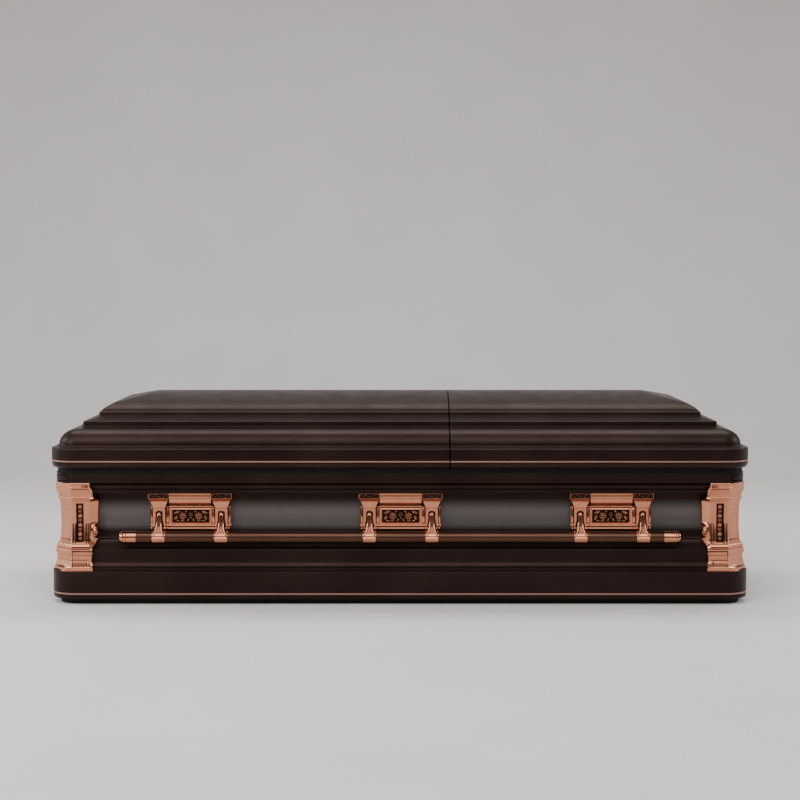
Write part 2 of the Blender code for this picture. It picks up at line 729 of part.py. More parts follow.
def build():
    """Clear the scene and model every piece."""
    for obj in list(bpy.data.objects):
        bpy.data.objects.remove(obj)
    dark = ((0.055, 0.035, 0.032), 1.0, 0.34)
    brushed = ((0.20, 0.16, 0.155), 1.0, 0.38)
    copper_plate = ((0.78, 0.48, 0.36), 1.0, 0.24)
    rubber = ((0.012, 0.011, 0.011), 0.0, 0.70)
    add_object("bottom_pan", make_pan(), dark)
    add_object("base_moulding", make_base(), dark)
    add_object("side_panel", make_panel(), brushed)
    add_object("top_rail", make_rail(), dark)
    add_object("gasket", make_gasket(), rubber)
    make_lid("lid_long", -1, dark)
    make_lid("lid_short", 1, dark)
    for word_y, sign_y in (("front", -1), ("back", 1)):
        for word_x, sign_x in (("left", -1), ("right", 1)):
            name = "corner_" + word_y + "_" + word_x
            add_object(name, make_ornament(sign_x, sign_y), copper_plate)
    make_handle("front", -1, copper_plate)
    make_handle("back", 1, copper_plate)
    bpy.context.view_layer.update()


build()
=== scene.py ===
import math
import random

import bmesh
import bpy
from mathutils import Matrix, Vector


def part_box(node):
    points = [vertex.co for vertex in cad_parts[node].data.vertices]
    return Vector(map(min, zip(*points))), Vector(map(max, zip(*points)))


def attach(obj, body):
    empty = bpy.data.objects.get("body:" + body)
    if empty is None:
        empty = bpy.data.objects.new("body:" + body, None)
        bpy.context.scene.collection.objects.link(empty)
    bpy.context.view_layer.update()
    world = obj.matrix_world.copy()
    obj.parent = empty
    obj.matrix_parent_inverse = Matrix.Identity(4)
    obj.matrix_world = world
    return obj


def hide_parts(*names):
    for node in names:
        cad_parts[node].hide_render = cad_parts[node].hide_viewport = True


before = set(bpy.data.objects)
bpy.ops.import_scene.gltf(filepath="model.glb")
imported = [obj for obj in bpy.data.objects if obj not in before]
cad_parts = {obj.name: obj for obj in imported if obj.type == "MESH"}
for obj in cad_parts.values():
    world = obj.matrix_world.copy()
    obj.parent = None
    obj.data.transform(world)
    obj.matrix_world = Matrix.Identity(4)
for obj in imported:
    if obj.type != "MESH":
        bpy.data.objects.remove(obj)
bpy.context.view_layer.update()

bl_info = {
    "name": "Half-lid casket",
    "version": (1, 0, 0),
    "blender": (4, 5, 0),
    "location": "3D View > Sidebar > Casket",
    "description": "Lacquered body, brushed side and cast copper hardware round the casket's frame",
    "category": "Object",
}

BOXES = {node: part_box(node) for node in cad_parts}
CORNERS = tuple((wy, sy, wx, sx) for wy, sy in (("front", -1), ("back", 1))
                for wx, sx in (("left", -1), ("right", 1)))
SPOTS = ("left", "middle", "right")
CLEARANCE = 0.0003


def size(name, description, default):
    """A length that a user can change, in metres."""
    return bpy.props.FloatProperty(name=name, description=description, default=default, min=0.0,
                                   precision=4, unit="LENGTH")


def colour(name, description, default):
    """A colour that a user can change, in scene-linear values."""
    return bpy.props.FloatVectorProperty(name=name, description=description, default=default,
                                         size=3, min=0.0, max=1.0, subtype="COLOR")


def low(node):
    """Lowest height of a CAD node."""
    return BOXES[node][0].z


def high(node):
    """Greatest height of a CAD node."""
    return BOXES[node][1].z


def middle_z(node):
    """Middle height of a CAD node."""
    return (low(node) + high(node)) / 2


def centre_x(node):
    """Middle of a CAD node along the casket."""
    ends = BOXES[node]
    return (ends[0].x + ends[1].x) / 2


class CasketBody(bpy.types.PropertyGroup):
    """Sizes of the sheet-metal body, counted inwards from the outer faces."""
    length: size("Length", "Overall length over the lid rim", 2.136)
    width: size("Width", "Overall width over the lid rim", 0.720)
    corner_radius: size("Corner radius", "Radius of the plan's corners at the outer face", 0.080)
    sheet: size("Sheet", "Thickness of the sheet metal", 0.0015)
    flange: size("Flange", "Width of the folded edges", 0.012)
    band_height: size("Band height", "Height of the upright band of the base", 0.0855)
    ledge_inset: size("Ledge inset", "Foot of the lower cove", 0.0165)
    cove_rise: size("Cove rise", "Height of the lower cove", 0.0275)
    cove_inset: size("Cove inset", "Top of the lower cove", 0.030)
    flat_height: size("Flat height", "Height of the flat between the coves", 0.0385)
    upper_inset: size("Upper cove inset", "Foot of the upper cove", 0.044)
    panel_inset: size("Panel inset", "Edges of the brushed side", 0.056)
    panel_hollow: size("Panel hollow", "Depth of the side's hollow face", 0.010)
    fascia_inset: size("Fascia inset", "Face of the fascia under the rail", 0.031)
    fascia_height: size("Fascia height", "Height of the fascia", 0.0135)
    bead_inset: size("Bead inset", "Crest of the bead under the rail band", 0.0245)
    bead_height: size("Bead height", "Height of the bead and its grooves", 0.0192)
    rail_inset: size("Rail inset", "Face of the rail's flat band", 0.014)
    groove_depth: size("Groove depth", "Depth of the groove round each end of the rail", 0.0030)
    groove_start: size("Groove start", "Distance of the groove's round end from the end", 0.060)
    gasket_inset: size("Gasket inset", "Outer face of the sealing strip", 0.017)
    gasket_width: size("Gasket width", "Width of the sealing strip", 0.014)
    pan_inset: size("Pan inset", "Wall of the bottom pan", 0.0225)
    pan_wall: size("Pan wall", "Height of the bottom pan", 0.060)
    stripe_width: size("Stripe width", "Width of the painted pinstripes", 0.0042)
    base_stripe: size("Base stripe", "Height of the pinstripe on the base", 0.0333)


class CasketLid(bpy.types.PropertyGroup):
    """Sizes of the two lids, counted inwards from the outer faces and up from the underside."""
    rim_height: size("Rim height", "Height of the upright rim", 0.060)
    roll: size("Roll", "Inward roll of the rim's lower edge", 0.0095)
    roll_height: size("Roll height", "Height of the rolled lower edge", 0.0195)
    fillet_rise: size("Fillet rise", "Height of the step between rim and pillow", 0.008)
    pillow_inset: size("Pillow inset", "Foot of the rounded pillow", 0.023)
    pillow_run: size("Pillow run", "Depth of the pillow from front to back", 0.062)
    pillow_rise: size("Pillow rise", "Height of the pillow", 0.049)
    riser_1_inset: size("First riser inset", "Face of the first riser", 0.092)
    riser_1: size("First riser", "Height of the first riser", 0.0206)
    ledge_rise: size("Ledge rise", "Rise of the ledge between the risers", 0.0103)
    riser_2_inset: size("Second riser inset", "Face of the second riser", 0.133)
    riser_2: size("Second riser", "Height of the second riser", 0.0158)
    crown_edge: size("Crown edge", "Rise of the sloping border round the crown", 0.0253)
    crown_inset: size("Crown inset", "Foot of the vaulted crown", 0.175)
    crown_rise: size("Crown rise", "Height of the vaulted crown", 0.0264)
    crown_end_run: size("Crown end run", "Length of the crown's sloping ends", 0.1195)
    split_x: size("Split", "Place of the split between the lids", 0.152)
    split_gap: size("Split gap", "Width of the split between the lids", 0.003)
    return_inset: size("Rim return", "Inner edge of the rim's turned-in flange", 0.044)
    stripe: size("Lid stripe", "Height of the pinstripe above the lid's underside", 0.0218)


class CasketOrnament(bpy.types.PropertyGroup):
    """Sizes of the cast corner ornaments, measured along a face from the casket's end."""
    facet_start: size("Facet start", "Arris between the corner facet and the face", 0.068)
    facet_end: size("Facet end", "Arris between the face and the wing", 0.1215)
    wing_end: size("Wing end", "Outermost reach of the wing", 0.148)
    tile_start: size("Tile start", "Near edge of the upright inlay", 0.0815)
    tile_end: size("Tile end", "Far edge of the upright inlay", 0.1038)
    tile_low: size("Tile foot", "Height of the inlay's foot", 0.190)
    tile_high: size("Tile head", "Height of the inlay's head", 0.308)
    inlay_depth: size("Inlay depth", "Depth of the black inlays", 0.0012)
    wall: size("Wall", "Least metal between the corner facet and the body", 0.004)
    scroll_place: size("Scroll place", "Middle of the scroll on the wing", 0.1385)
    scroll_height: size("Scroll height", "Middle of the scroll above the ornament's foot", 0.1205)
    scroll_reach: size("Scroll reach", "Radius of the scroll", 0.016)
    scroll_rise: size("Scroll rise", "Height of the scroll's boss", 0.0085)
    leaf_width: size("Leaf width", "Half width of the leaf on the wing", 0.0085)
    flute_low: size("Flute foot", "Height of the flutes' feet", 0.185)
    flute_high: size("Flute head", "Height of the flutes' heads", 0.247)
    hatch_low: size("Hatch foot", "Height of the hatched field's foot", 0.1905)
    hatch_high: size("Hatch head", "Height of the hatched field's head", 0.310)
    hatch_pitch: size("Hatch pitch", "Spacing of the hatching", 0.003)


class CasketHandle(bpy.types.PropertyGroup):
    """Sizes of the swing bars, their arms and the double-lug plates."""
    lug_offset: size("Lug offset", "Distance of each lug from the middle of its plate", 0.095)
    lug_width: size("Lug width", "Width of a lug", 0.037)
    capital_width: size("Capital width", "Width of the capital over a lug", 0.065)
    lug_front: size("Lug front", "Inset of a lug's face", 0.032)
    capital_front: size("Capital front", "Inset of a capital's face", 0.024)
    frame_front: size("Frame front", "Inset of the framed panel", 0.044)
    slot_width: size("Slot width", "Width of the slot in a lug", 0.0200)
    slot_flare: size("Slot flare", "Width of the slot at its foot", 0.032)
    stem_rise: size("Stem rise", "Height of an arm above the rod", 0.050)
    stem_width: size("Stem width", "Width of an arm at its top", 0.014)
    pivot_inset: size("Pivot inset", "Inset of the rod", 0.036)
    rod_radius: size("Rod radius", "Radius of the rod", 0.0035)
    bar_radius: size("Bar radius", "Radius of the bar", 0.018)
    bar_inset: size("Bar inset", "Inset of the bar's middle", 0.020)
    cap_radius: size("Cap radius", "Radius of a bar's end cap", 0.0205)
    collar_radius: size("Collar radius", "Radius of an arm's collar", 0.021)
    collar_width: size("Collar width", "Width of an arm's collar", 0.040)
    trumpet_foot: size("Trumpet foot", "Foot of an arm's trumpet above the bar's middle", 0.001)
    neck_drop: size("Neck drop", "Foot of a capital's flare below the plate's head", 0.044)
    tray_drop: size("Tray drop", "Foot of a capital's inlaid block below the head", 0.0165)
    rose_place: size("Rose place", "Distance of each rose from the middle of its panel", 0.0245)
    rose_radius: size("Rose radius", "Radius of a rose", 0.0128)


class CasketLooks(bpy.types.PropertyGroup):
    """Colours of the finishes."""
    enamel: colour("Enamel", "Dark brown metallic lacquer", (0.0215, 0.0108, 0.0090))
    enamel_glint: colour("Enamel glint", "Lighter flake in the lacquer", (0.050, 0.031, 0.027))
    brushed: colour("Brushed side", "Middle of the brushed side", (0.132, 0.119, 0.117))
    # Dark edges of the brushed side: partly its shaded finish, partly painted shadow under the rail
    # and from the bar.
    brushed_edge_and_shadow: colour("Brushed edge", "Shaded edges of the side", (0.017, 0.0088, 0.0070))
    copper: colour("Copper plate", "Polished rose copper", (0.56, 0.235, 0.138))
    copper_shade: colour("Copper shade", "Copper in the hollows", (0.33, 0.130, 0.070))
    ink: colour("Inlay black", "Black enamel behind the ornaments", (0.0150, 0.0105, 0.0080))
    bronze: colour("Bar bronze", "Satin bronze of the bars", (0.100, 0.048, 0.030))
    # Black of the sealing strip, and the same black on the pan as painted shade in the gap under
    # the base.
    rubber_and_pan_shade: colour("Sealing strip", "Black rubber", (0.0036, 0.0036, 0.0038))
    stripe: colour("Pinstripe", "Painted copper line", (0.43, 0.245, 0.185))
    floor: colour("Floor", "Pale floor of the studio", (0.70, 0.675, 0.655))


# Share of ink that darkens a raised copper motif without turning it black.
ANTIQUE = 0.47

GROUPS = {"casket_body": CasketBody, "casket_lid": CasketLid, "casket_ornament": CasketOrnament,
          "casket_handle": CasketHandle, "casket_looks": CasketLooks}


def group(key):
    """One of the casket's groups of sizes or colours."""
    return getattr(bpy.context.scene, "casket_" + key)


class Skin:
    """Gathers the points, faces and inlay mask of one piece before it becomes a mesh."""

    def __init__(self):
        self.points = []
        self.faces = []
        self.ink = []

    def add(self, points, faces, ink=0.0):
        """Add points and faces; ink is one value or one value for each point."""
        first = len(self.points)
        self.points += [tuple(p) for p in points]
        self.faces += [tuple(first + i for i in face) for face in faces]
        self.ink += list(ink) if isinstance(ink, (list, tuple)) else [ink] * len(points)
        return self

    def grid(self, rows, ink=None, wrap=True, close=False, caps=False):
        """Skin equal rows of points: wrap joins a row's ends, close joins the last row to the
        first, and caps fills the first and last rows."""
        count = len(rows[0])
        points = [p for row in rows for p in row]
        values = [v for row in ink for v in row] if ink else 0.0
        faces = []
        for r in range(len(rows) if close else len(rows) - 1):
            here, there = r * count, (r + 1) % len(rows) * count
            for i in range(count if wrap else count - 1):
                j = (i + 1) % count
                faces.append((here + i, here + j, there + j, there + i))
        if caps:
            faces.append(tuple(range(count))[::-1])
            faces.append(tuple(range(len(points) - count, len(points))))
        return self.add(points, faces, values)

    def join(self, other, move=(0.0, 0.0, 0.0), flip=(1, 1)):
        """Add another skin, mirrored by flip and then moved."""
        points = [(flip[0] * x + move[0], flip[1] * y + move[1], z + move[2])
                  for x, y, z in other.points]
        return self.add(points, other.faces, other.ink)

    def mesh(self, mesh, ink=0.0):
        """Add the faces of a finished mesh."""
        points = [tuple(v.co) for v in mesh.vertices]
        return self.add(points, [tuple(p.vertices) for p in mesh.polygons], ink)

    def make(self, name, look, body, nodes, slot, sharp=32):
        """Turn the skin into a piece that rides on a body and stands for CAD nodes."""
        mesh = bpy.data.meshes.new(name)
        mesh.from_pydata(self.points, [], self.faces)
        layer = mesh.attributes.new("ink", "FLOAT", "POINT")
        layer.data.foreach_set("value", self.ink)
        bm = bmesh.new()
        bm.from_mesh(mesh)
        bmesh.ops.remove_doubles(bm, verts=bm.verts, dist=2e-6)
        bmesh.ops.dissolve_degenerate(bm, edges=bm.edges, dist=2e-6)
        bmesh.ops.recalc_face_normals(bm, faces=bm.faces)
        bm.to_mesh(mesh)
        bm.free()
        mesh.shade_smooth()
        mesh.set_sharp_from_angle(angle=math.radians(sharp))
        mesh.materials.clear()
        mesh.materials.append(look)
        obj = bpy.data.objects.new(name, mesh)
        bpy.context.scene.collection.objects.link(obj)
        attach(obj, body)
        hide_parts(*nodes)
        return obj


def eased(corners, steps=4):
    """Polyline through (inset, height, ease) corners, each rounded over its ease length."""
    line = []
    for i, (a, b, ease) in enumerate(corners):
        here = Vector((a, b))
        if ease <= 0.0 or i in (0, len(corners) - 1):
            line.append((a, b))
            continue
        before = Vector(corners[i - 1][:2]) - here
        after = Vector(corners[i + 1][:2]) - here
        reach = min(ease, before.length * 0.42, after.length * 0.42)
        start = before.normalized() * reach
        end = after.normalized() * reach
        line.append(tuple(here + start * 1.16))
        for k in range(steps + 1):
            t = k / steps
            line.append(tuple(here + start * (1 - t) ** 2 + end * t * t))
        line.append(tuple(here + end * 1.16))
    return line


def shifted(inset, height, corners):
    """Corners counted from a point, as (inset, height, ease) corners."""
    return [(inset + a, height + b, ease) for a, b, ease in corners]


def arc(inset_0, height_0, inset_1, height_1, steps=8):
    """Quarter round between two points, upright at the first."""
    turns = [math.pi / 2 * k / steps for k in range(steps + 1)]
    return [(inset_0 + (inset_1 - inset_0) * (1 - math.cos(turn)),
             height_0 + (height_1 - height_0) * math.sin(turn), 0.0) for turn in turns]


def plan(inset_x, inset_y, steps=24):
    """The rounded rectangle of the casket's plan at an inset from its outer faces."""
    body = group("body")
    half_x = body.length / 2 - inset_x
    half_y = max(body.width / 2 - inset_y, 0.0)
    radius = min(max(body.corner_radius - min(inset_x, inset_y), 0.010), half_y)
    points = []
    for quarter, (sx, sy) in enumerate(((1, 1), (-1, 1), (-1, -1), (1, -1))):
        for step in range(steps + 1):
            angle = math.pi / 2 * (quarter + step / steps)
            points.append((sx * (half_x - radius) + radius * math.cos(angle),
                           sy * (half_y - radius) + radius * math.sin(angle)))
    return points


def turned(stations, y, z, sides=28, axis="X"):
    """Rows of a surface of revolution about X through (y, z), or about Z through (x, y)."""
    rows = []
    for along, radius in stations:
        row = []
        for i in range(sides):
            angle = 2 * math.pi * i / sides
            a, b = radius * math.cos(angle), radius * math.sin(angle)
            row.append((along, y + a, z + b) if axis == "X" else (y + a, z + b, along))
        rows.append(row)
    return rows


def new_tree(name, sockets):
    """A node group with a geometry input and output and the named inputs."""
    tree = bpy.data.node_groups.new(name, "GeometryNodeTree")
    tree.interface.new_socket("Geometry", in_out="INPUT", socket_type="NodeSocketGeometry")
    tree.interface.new_socket("Geometry", in_out="OUTPUT", socket_type="NodeSocketGeometry")
    for label, kind in sockets:
        tree.interface.new_socket(label, in_out="INPUT", socket_type="NodeSocket" + kind)
    source = tree.nodes.new("NodeGroupInput")
    return tree, source


def finish_tree(tree, source, geometry):
    """End a tree in Realize Instances and Set Material."""
    real = tree.nodes.new("GeometryNodeRealizeInstances")
    paint = tree.nodes.new("GeometryNodeSetMaterial")
    sink = tree.nodes.new("NodeGroupOutput")
    tree.links.new(geometry, real.inputs["Geometry"])
    tree.links.new(real.outputs[0], paint.inputs["Geometry"])
    tree.links.new(source.outputs["Finish"], paint.inputs["Material"])
    tree.links.new(paint.outputs[0], sink.inputs[0])
    return tree


def sweep_tree():
    """Sweeps a closed profile round a rectangle with rounded corners."""
    tree, source = new_tree("Casket moulding", (
        ("Length", "Float"), ("Width", "Float"), ("Corner Radius", "Float"),
        ("Corner Steps", "Int"), ("Finish", "Material")))
    path = tree.nodes.new("GeometryNodeCurvePrimitiveQuadrilateral")
    fillet = tree.nodes.new("GeometryNodeFilletCurve")
    fillet.mode = "POLY"
    upright = tree.nodes.new("GeometryNodeSetCurveNormal")
    upright.mode = "Z_UP"
    profile = tree.nodes.new("GeometryNodeMeshToCurve")
    sweep = tree.nodes.new("GeometryNodeCurveToMesh")
    for out, into in ((source.outputs["Length"], path.inputs["Width"]),
                      (source.outputs["Width"], path.inputs["Height"]),
                      (path.outputs[0], fillet.inputs["Curve"]),
                      (source.outputs["Corner Steps"], fillet.inputs["Count"]),
                      (source.outputs["Corner Radius"], fillet.inputs["Radius"]),
                      (fillet.outputs[0], upright.inputs["Curve"]),
                      (upright.outputs[0], sweep.inputs["Curve"]),
                      (source.outputs["Geometry"], profile.inputs["Mesh"]),
                      (profile.outputs[0], sweep.inputs["Profile Curve"])):
        tree.links.new(out, into)
    return finish_tree(tree, source, sweep.outputs[0])


def scatter_tree():
    """Sets a motif on every point, turned by its spin and scaled by its size attribute."""
    tree, source = new_tree("Casket motifs", (("Motif", "Object"), ("Finish", "Material")))
    motif = tree.nodes.new("GeometryNodeObjectInfo")
    place = tree.nodes.new("GeometryNodeInstanceOnPoints")
    spin = tree.nodes.new("GeometryNodeInputNamedAttribute")
    spin.data_type = "FLOAT_VECTOR"
    spin.inputs["Name"].default_value = "spin"
    scale = tree.nodes.new("GeometryNodeInputNamedAttribute")
    scale.data_type = "FLOAT_VECTOR"
    scale.inputs["Name"].default_value = "size"
    turn = tree.nodes.new("FunctionNodeEulerToRotation")
    for out, into in ((source.outputs["Motif"], motif.inputs["Object"]),
                      (motif.outputs["Geometry"], place.inputs["Instance"]),
                      (source.outputs["Geometry"], place.inputs["Points"]),
                      (spin.outputs["Attribute"], turn.inputs[0]),
                      (turn.outputs[0], place.inputs["Rotation"]),
                      (scale.outputs["Attribute"], place.inputs["Scale"])):
        tree.links.new(out, into)
    return finish_tree(tree, source, place.outputs[0])


def run_tree(tree, mesh, inputs):
    """Evaluate a tree on a mesh and return the plain mesh that it makes."""
    obj = bpy.data.objects.new(tree.name, mesh)
    bpy.context.scene.collection.objects.link(obj)
    mod = obj.modifiers.new(tree.name, "NODES")
    mod.node_group = tree
    sockets = {item.name: item.identifier for item in tree.interface.items_tree
               if item.in_out == "INPUT"}
    for label, value in inputs.items():
        mod[sockets[label]] = value
    bpy.context.view_layer.update()
    graph = bpy.context.evaluated_depsgraph_get()
    made = bpy.data.meshes.new_from_object(obj.evaluated_get(graph))
    obj.modifiers.remove(mod)
    bpy.data.objects.remove(obj)
    if not made.polygons:
        raise RuntimeError(tree.name + " made no faces")
    return made


def swept(profile, look):
    """Sweep a closed loop of (inset, height) points round the casket's plan."""
    body = group("body")
    mesh = bpy.data.meshes.new("profile")
    count = len(profile)
    mesh.from_pydata([(-inset, -z, 0.0) for inset, z in profile],
                     [(i, (i + 1) % count) for i in range(count)], [])
    made = run_tree(sweep_tree(), mesh, {
        "Length": body.length, "Width": body.width, "Corner Radius": body.corner_radius,
        "Corner Steps": 24, "Finish": look})
    return Skin().mesh(made)


def scattered(motif, places, look):
    """Copies of a motif skin at (point, spin, size) places, as one skin."""
    shape = bpy.data.meshes.new("motif")
    shape.from_pydata(motif.points, [], motif.faces)
    stencil = bpy.data.objects.new("motif", shape)
    bpy.context.scene.collection.objects.link(stencil)
    mesh = bpy.data.meshes.new("places")
    mesh.from_pydata([place[0] for place in places], [], [])
    for label, column in (("spin", 1), ("size", 2)):
        layer = mesh.attributes.new(label, "FLOAT_VECTOR", "POINT")
        layer.data.foreach_set("vector", [c for place in places for c in place[column]])
    made = run_tree(scatter_tree(), mesh, {"Motif": stencil, "Finish": look})
    bpy.data.objects.remove(stencil)
    return Skin().mesh(made)


def shader_node(mat, kind, inputs=None, **settings):
    """Add a node to a material, set its settings, and link or set its inputs."""
    node = mat.node_tree.nodes.new(kind)
    for key, value in settings.items():
        setattr(node, key, value)
    for key, value in (inputs or {}).items():
        if isinstance(value, bpy.types.NodeSocket):
            mat.node_tree.links.new(value, node.inputs[key])
        else:
            node.inputs[key].default_value = value
    return node


def new_look(name, **shader):
    """A material with the constant values of its Principled shader set."""
    mat = bpy.data.materials.new(name)
    mat.use_nodes = True
    principled = mat.node_tree.nodes["Principled BSDF"]
    for key, value in shader.items():
        principled.inputs[key.replace("_", " ")].default_value = value
    return mat, principled


def object_coords(mat, scale=(1.0, 1.0, 1.0)):
    """The piece's own coordinates, scaled."""
    place = shader_node(mat, "ShaderNodeTexCoord").outputs["Object"]
    return shader_node(mat, "ShaderNodeMapping", {"Vector": place, "Scale": scale}).outputs[0]


def noise(mat, scale, detail=3.0, stretch=(1.0, 1.0, 1.0), roughness=0.55):
    """A noise value on the piece's own coordinates."""
    return shader_node(mat, "ShaderNodeTexNoise", {
        "Vector": object_coords(mat, stretch), "Scale": scale, "Detail": detail,
        "Roughness": roughness}).outputs["Fac"]


def remap(mat, value, low_in, high_in, low_out, high_out):
    """A value mapped smoothly from one range to another."""
    return shader_node(mat, "ShaderNodeMapRange", {
        "Value": value, "From Min": low_in, "From Max": high_in, "To Min": low_out,
        "To Max": high_out}, interpolation_type="SMOOTHSTEP").outputs["Result"]


def mixed(mat, factor, first, second, blend="MIX"):
    """Two colours mixed by a factor; each is a socket or a colour."""
    node = mat.node_tree.nodes.new("ShaderNodeMix")
    node.data_type = "RGBA"
    node.blend_type = blend
    for index, value in ((0, factor), (6, first), (7, second)):
        if isinstance(value, bpy.types.NodeSocket):
            mat.node_tree.links.new(value, node.inputs[index])
        elif index:
            node.inputs[index].default_value = (*value[:3], 1.0)
        else:
            node.inputs[index].default_value = value
    return node.outputs[2]


def maths(mat, operation, first, second=0.0):
    """One arithmetic step on two values."""
    node = shader_node(mat, "ShaderNodeMath", operation=operation)
    for index, value in ((0, first), (1, second)):
        if isinstance(value, bpy.types.NodeSocket):
            mat.node_tree.links.new(value, node.inputs[index])
        else:
            node.inputs[index].default_value = value
    return node.outputs[0]


def height_of(mat):
    """Height above the casket's underside."""
    split = shader_node(mat, "ShaderNodeSeparateXYZ", {"Vector": object_coords(mat)})
    return split.outputs["Z"]


def bump(mat, principled, value, strength, distance):
    """Raise the surface a little by a value."""
    node = shader_node(mat, "ShaderNodeBump", {"Height": value, "Strength": strength,
                                               "Distance": distance})
    mat.node_tree.links.new(node.outputs[0], principled.inputs["Normal"])


def link(mat, socket, principled, key):
    """Feed a socket into the Principled shader."""
    mat.node_tree.links.new(socket, principled.inputs[key])


def enamel_look(name, stripe=None):
    """Dark metallic lacquer with a fine flake, an orange-peel coat and perhaps a pinstripe."""
    looks = group("looks")
    mat, shader = new_look(name, Metallic=0.90, Coat_Weight=0.08, Coat_Roughness=0.16,
                           Coat_IOR=1.4, IOR=1.4)
    flake = remap(mat, noise(mat, 2600.0, 1.0), 0.56, 0.78, 0.0, 0.55)
    cloud = remap(mat, noise(mat, 5.0, 4.0), 0.35, 0.65, 0.0, 0.22)
    paint = mixed(mat, maths(mat, "ADD", flake, cloud), looks.enamel, looks.enamel_glint)
    rough = remap(mat, noise(mat, 18.0, 4.0), 0.3, 0.7, 0.40, 0.48)
    if stripe is not None:
        half = group("body").stripe_width / 2
        away = maths(mat, "ABSOLUTE", maths(mat, "SUBTRACT", height_of(mat), stripe))
        mask = remap(mat, away, half * 0.84, half * 1.16, 1.0, 0.0)
        paint = mixed(mat, mask, paint, looks.stripe)
    link(mat, paint, shader, "Base Color")
    link(mat, rough, shader, "Roughness")
    bump(mat, shader, noise(mat, 420.0, 2.0), 0.035, 0.0004)
    return mat


def brushed_look():
    """Brushed metal, darker towards its top and bottom edges: partly its shaded finish, partly
    painted shadow under the rail above and from the bar below.
    """
    looks = group("looks")
    mat, shader = new_look("brushed_side", Metallic=0.90, IOR=1.5, Anisotropic=0.45)
    foot, head = low("side_panel"), high("side_panel")
    z = height_of(mat)
    # Painted shadow: the tone falls off under the rail's overhang and over the bar, on top of the
    # finish's own dark edges.
    rise = remap(mat, z, foot + 0.015, foot + 0.041, 0.0, 1.0)
    fall = remap(mat, z, head - 0.068, head - 0.014, 1.0, 0.0)
    shade = maths(mat, "MULTIPLY", rise, fall)
    grain = noise(mat, 1.0, 6.0, (70.0, 70.0, 2400.0), 0.7)
    fine = noise(mat, 1.0, 3.0, (900.0, 900.0, 3200.0), 0.6)
    tone = mixed(mat, shade, looks.brushed_edge_and_shadow, looks.brushed)
    streak = remap(mat, maths(mat, "ADD", grain, maths(mat, "MULTIPLY", fine, 0.8)),
                   0.62, 1.18, 0.74, 1.28)
    ramp = shader_node(mat, "ShaderNodeCombineColor", {"Red": streak, "Green": streak,
                                                       "Blue": streak}).outputs[0]
    link(mat, mixed(mat, 1.0, tone, ramp, "MULTIPLY"), shader, "Base Color")
    link(mat, remap(mat, grain, 0.3, 0.7, 0.38, 0.52), shader, "Roughness")
    bump(mat, shader, grain, 0.10, 0.0003)
    return mat


def copper_look():
    """Polished rose copper, deeper in its hollows, with black enamel in the inlays."""
    looks = group("looks")
    mat, shader = new_look("rose_copper", Metallic=1.0, IOR=1.5)
    ink = shader_node(mat, "ShaderNodeAttribute", attribute_name="ink").outputs["Fac"]
    black = remap(mat, ink, 0.35, 0.65, 0.0, 1.0)
    cloud = remap(mat, noise(mat, 34.0, 4.0), 0.35, 0.7, 0.0, 0.16)
    metal = mixed(mat, cloud, looks.copper, looks.copper_shade)
    link(mat, mixed(mat, black, metal, looks.ink), shader, "Base Color")
    polish = remap(mat, noise(mat, 60.0, 4.0), 0.3, 0.7, 0.11, 0.17)
    link(mat, maths(mat, "ADD", polish, maths(mat, "MULTIPLY", black, 0.25)), shader,
         "Roughness")
    bump(mat, shader, noise(mat, 240.0, 3.0), 0.05, 0.0004)
    return mat


def bronze_look():
    """Satin bronze drawn lengthwise."""
    looks = group("looks")
    mat, shader = new_look("satin_bronze", Metallic=0.95, IOR=1.5)
    grain = noise(mat, 1.0, 5.0, (6.0, 900.0, 900.0), 0.6)
    cloud = noise(mat, 7.0, 3.0)
    deep = tuple(c * 0.62 for c in looks.bronze)
    link(mat, mixed(mat, remap(mat, maths(mat, "ADD", grain, cloud), 0.8, 1.25, 0.0, 0.7),
                    looks.bronze, deep), shader, "Base Color")
    link(mat, remap(mat, grain, 0.3, 0.7, 0.30, 0.40), shader, "Roughness")
    bump(mat, shader, grain, 0.06, 0.0002)
    return mat


def dull_look(name, paint):
    """Dull black of the sealing strip, and the same black on the pan as painted shade in the gap
    under the base.
    """
    mat, shader = new_look(name, IOR=1.3)
    tint = tuple(c * 2.0 for c in paint)
    link(mat, mixed(mat, remap(mat, noise(mat, 60.0), 0.3, 0.7, 0.0, 1.0), paint, tint),
         shader, "Base Color")
    link(mat, remap(mat, noise(mat, 300.0), 0.3, 0.7, 0.55, 0.72), shader, "Roughness")
    bump(mat, shader, noise(mat, 700.0), 0.15, 0.0002)
    return mat


def look(name):
    """The named material, made once."""
    makers = {"lid_enamel": lambda: enamel_look("lid_enamel", low("lid_long")
                                                + group("lid").stripe),
              "base_enamel": lambda: enamel_look("base_enamel", group("body").base_stripe),
              "enamel": lambda: enamel_look("enamel"),
              "brushed_side": brushed_look, "rose_copper": copper_look,
              "satin_bronze": bronze_look,
              "pan_black": lambda: dull_look("pan_black", group("looks").rubber_and_pan_shade),
              "sealing_rubber": lambda: dull_look("sealing_rubber", group("looks").rubber_and_pan_shade)}
    return bpy.data.materials.get(name) or makers[name]()


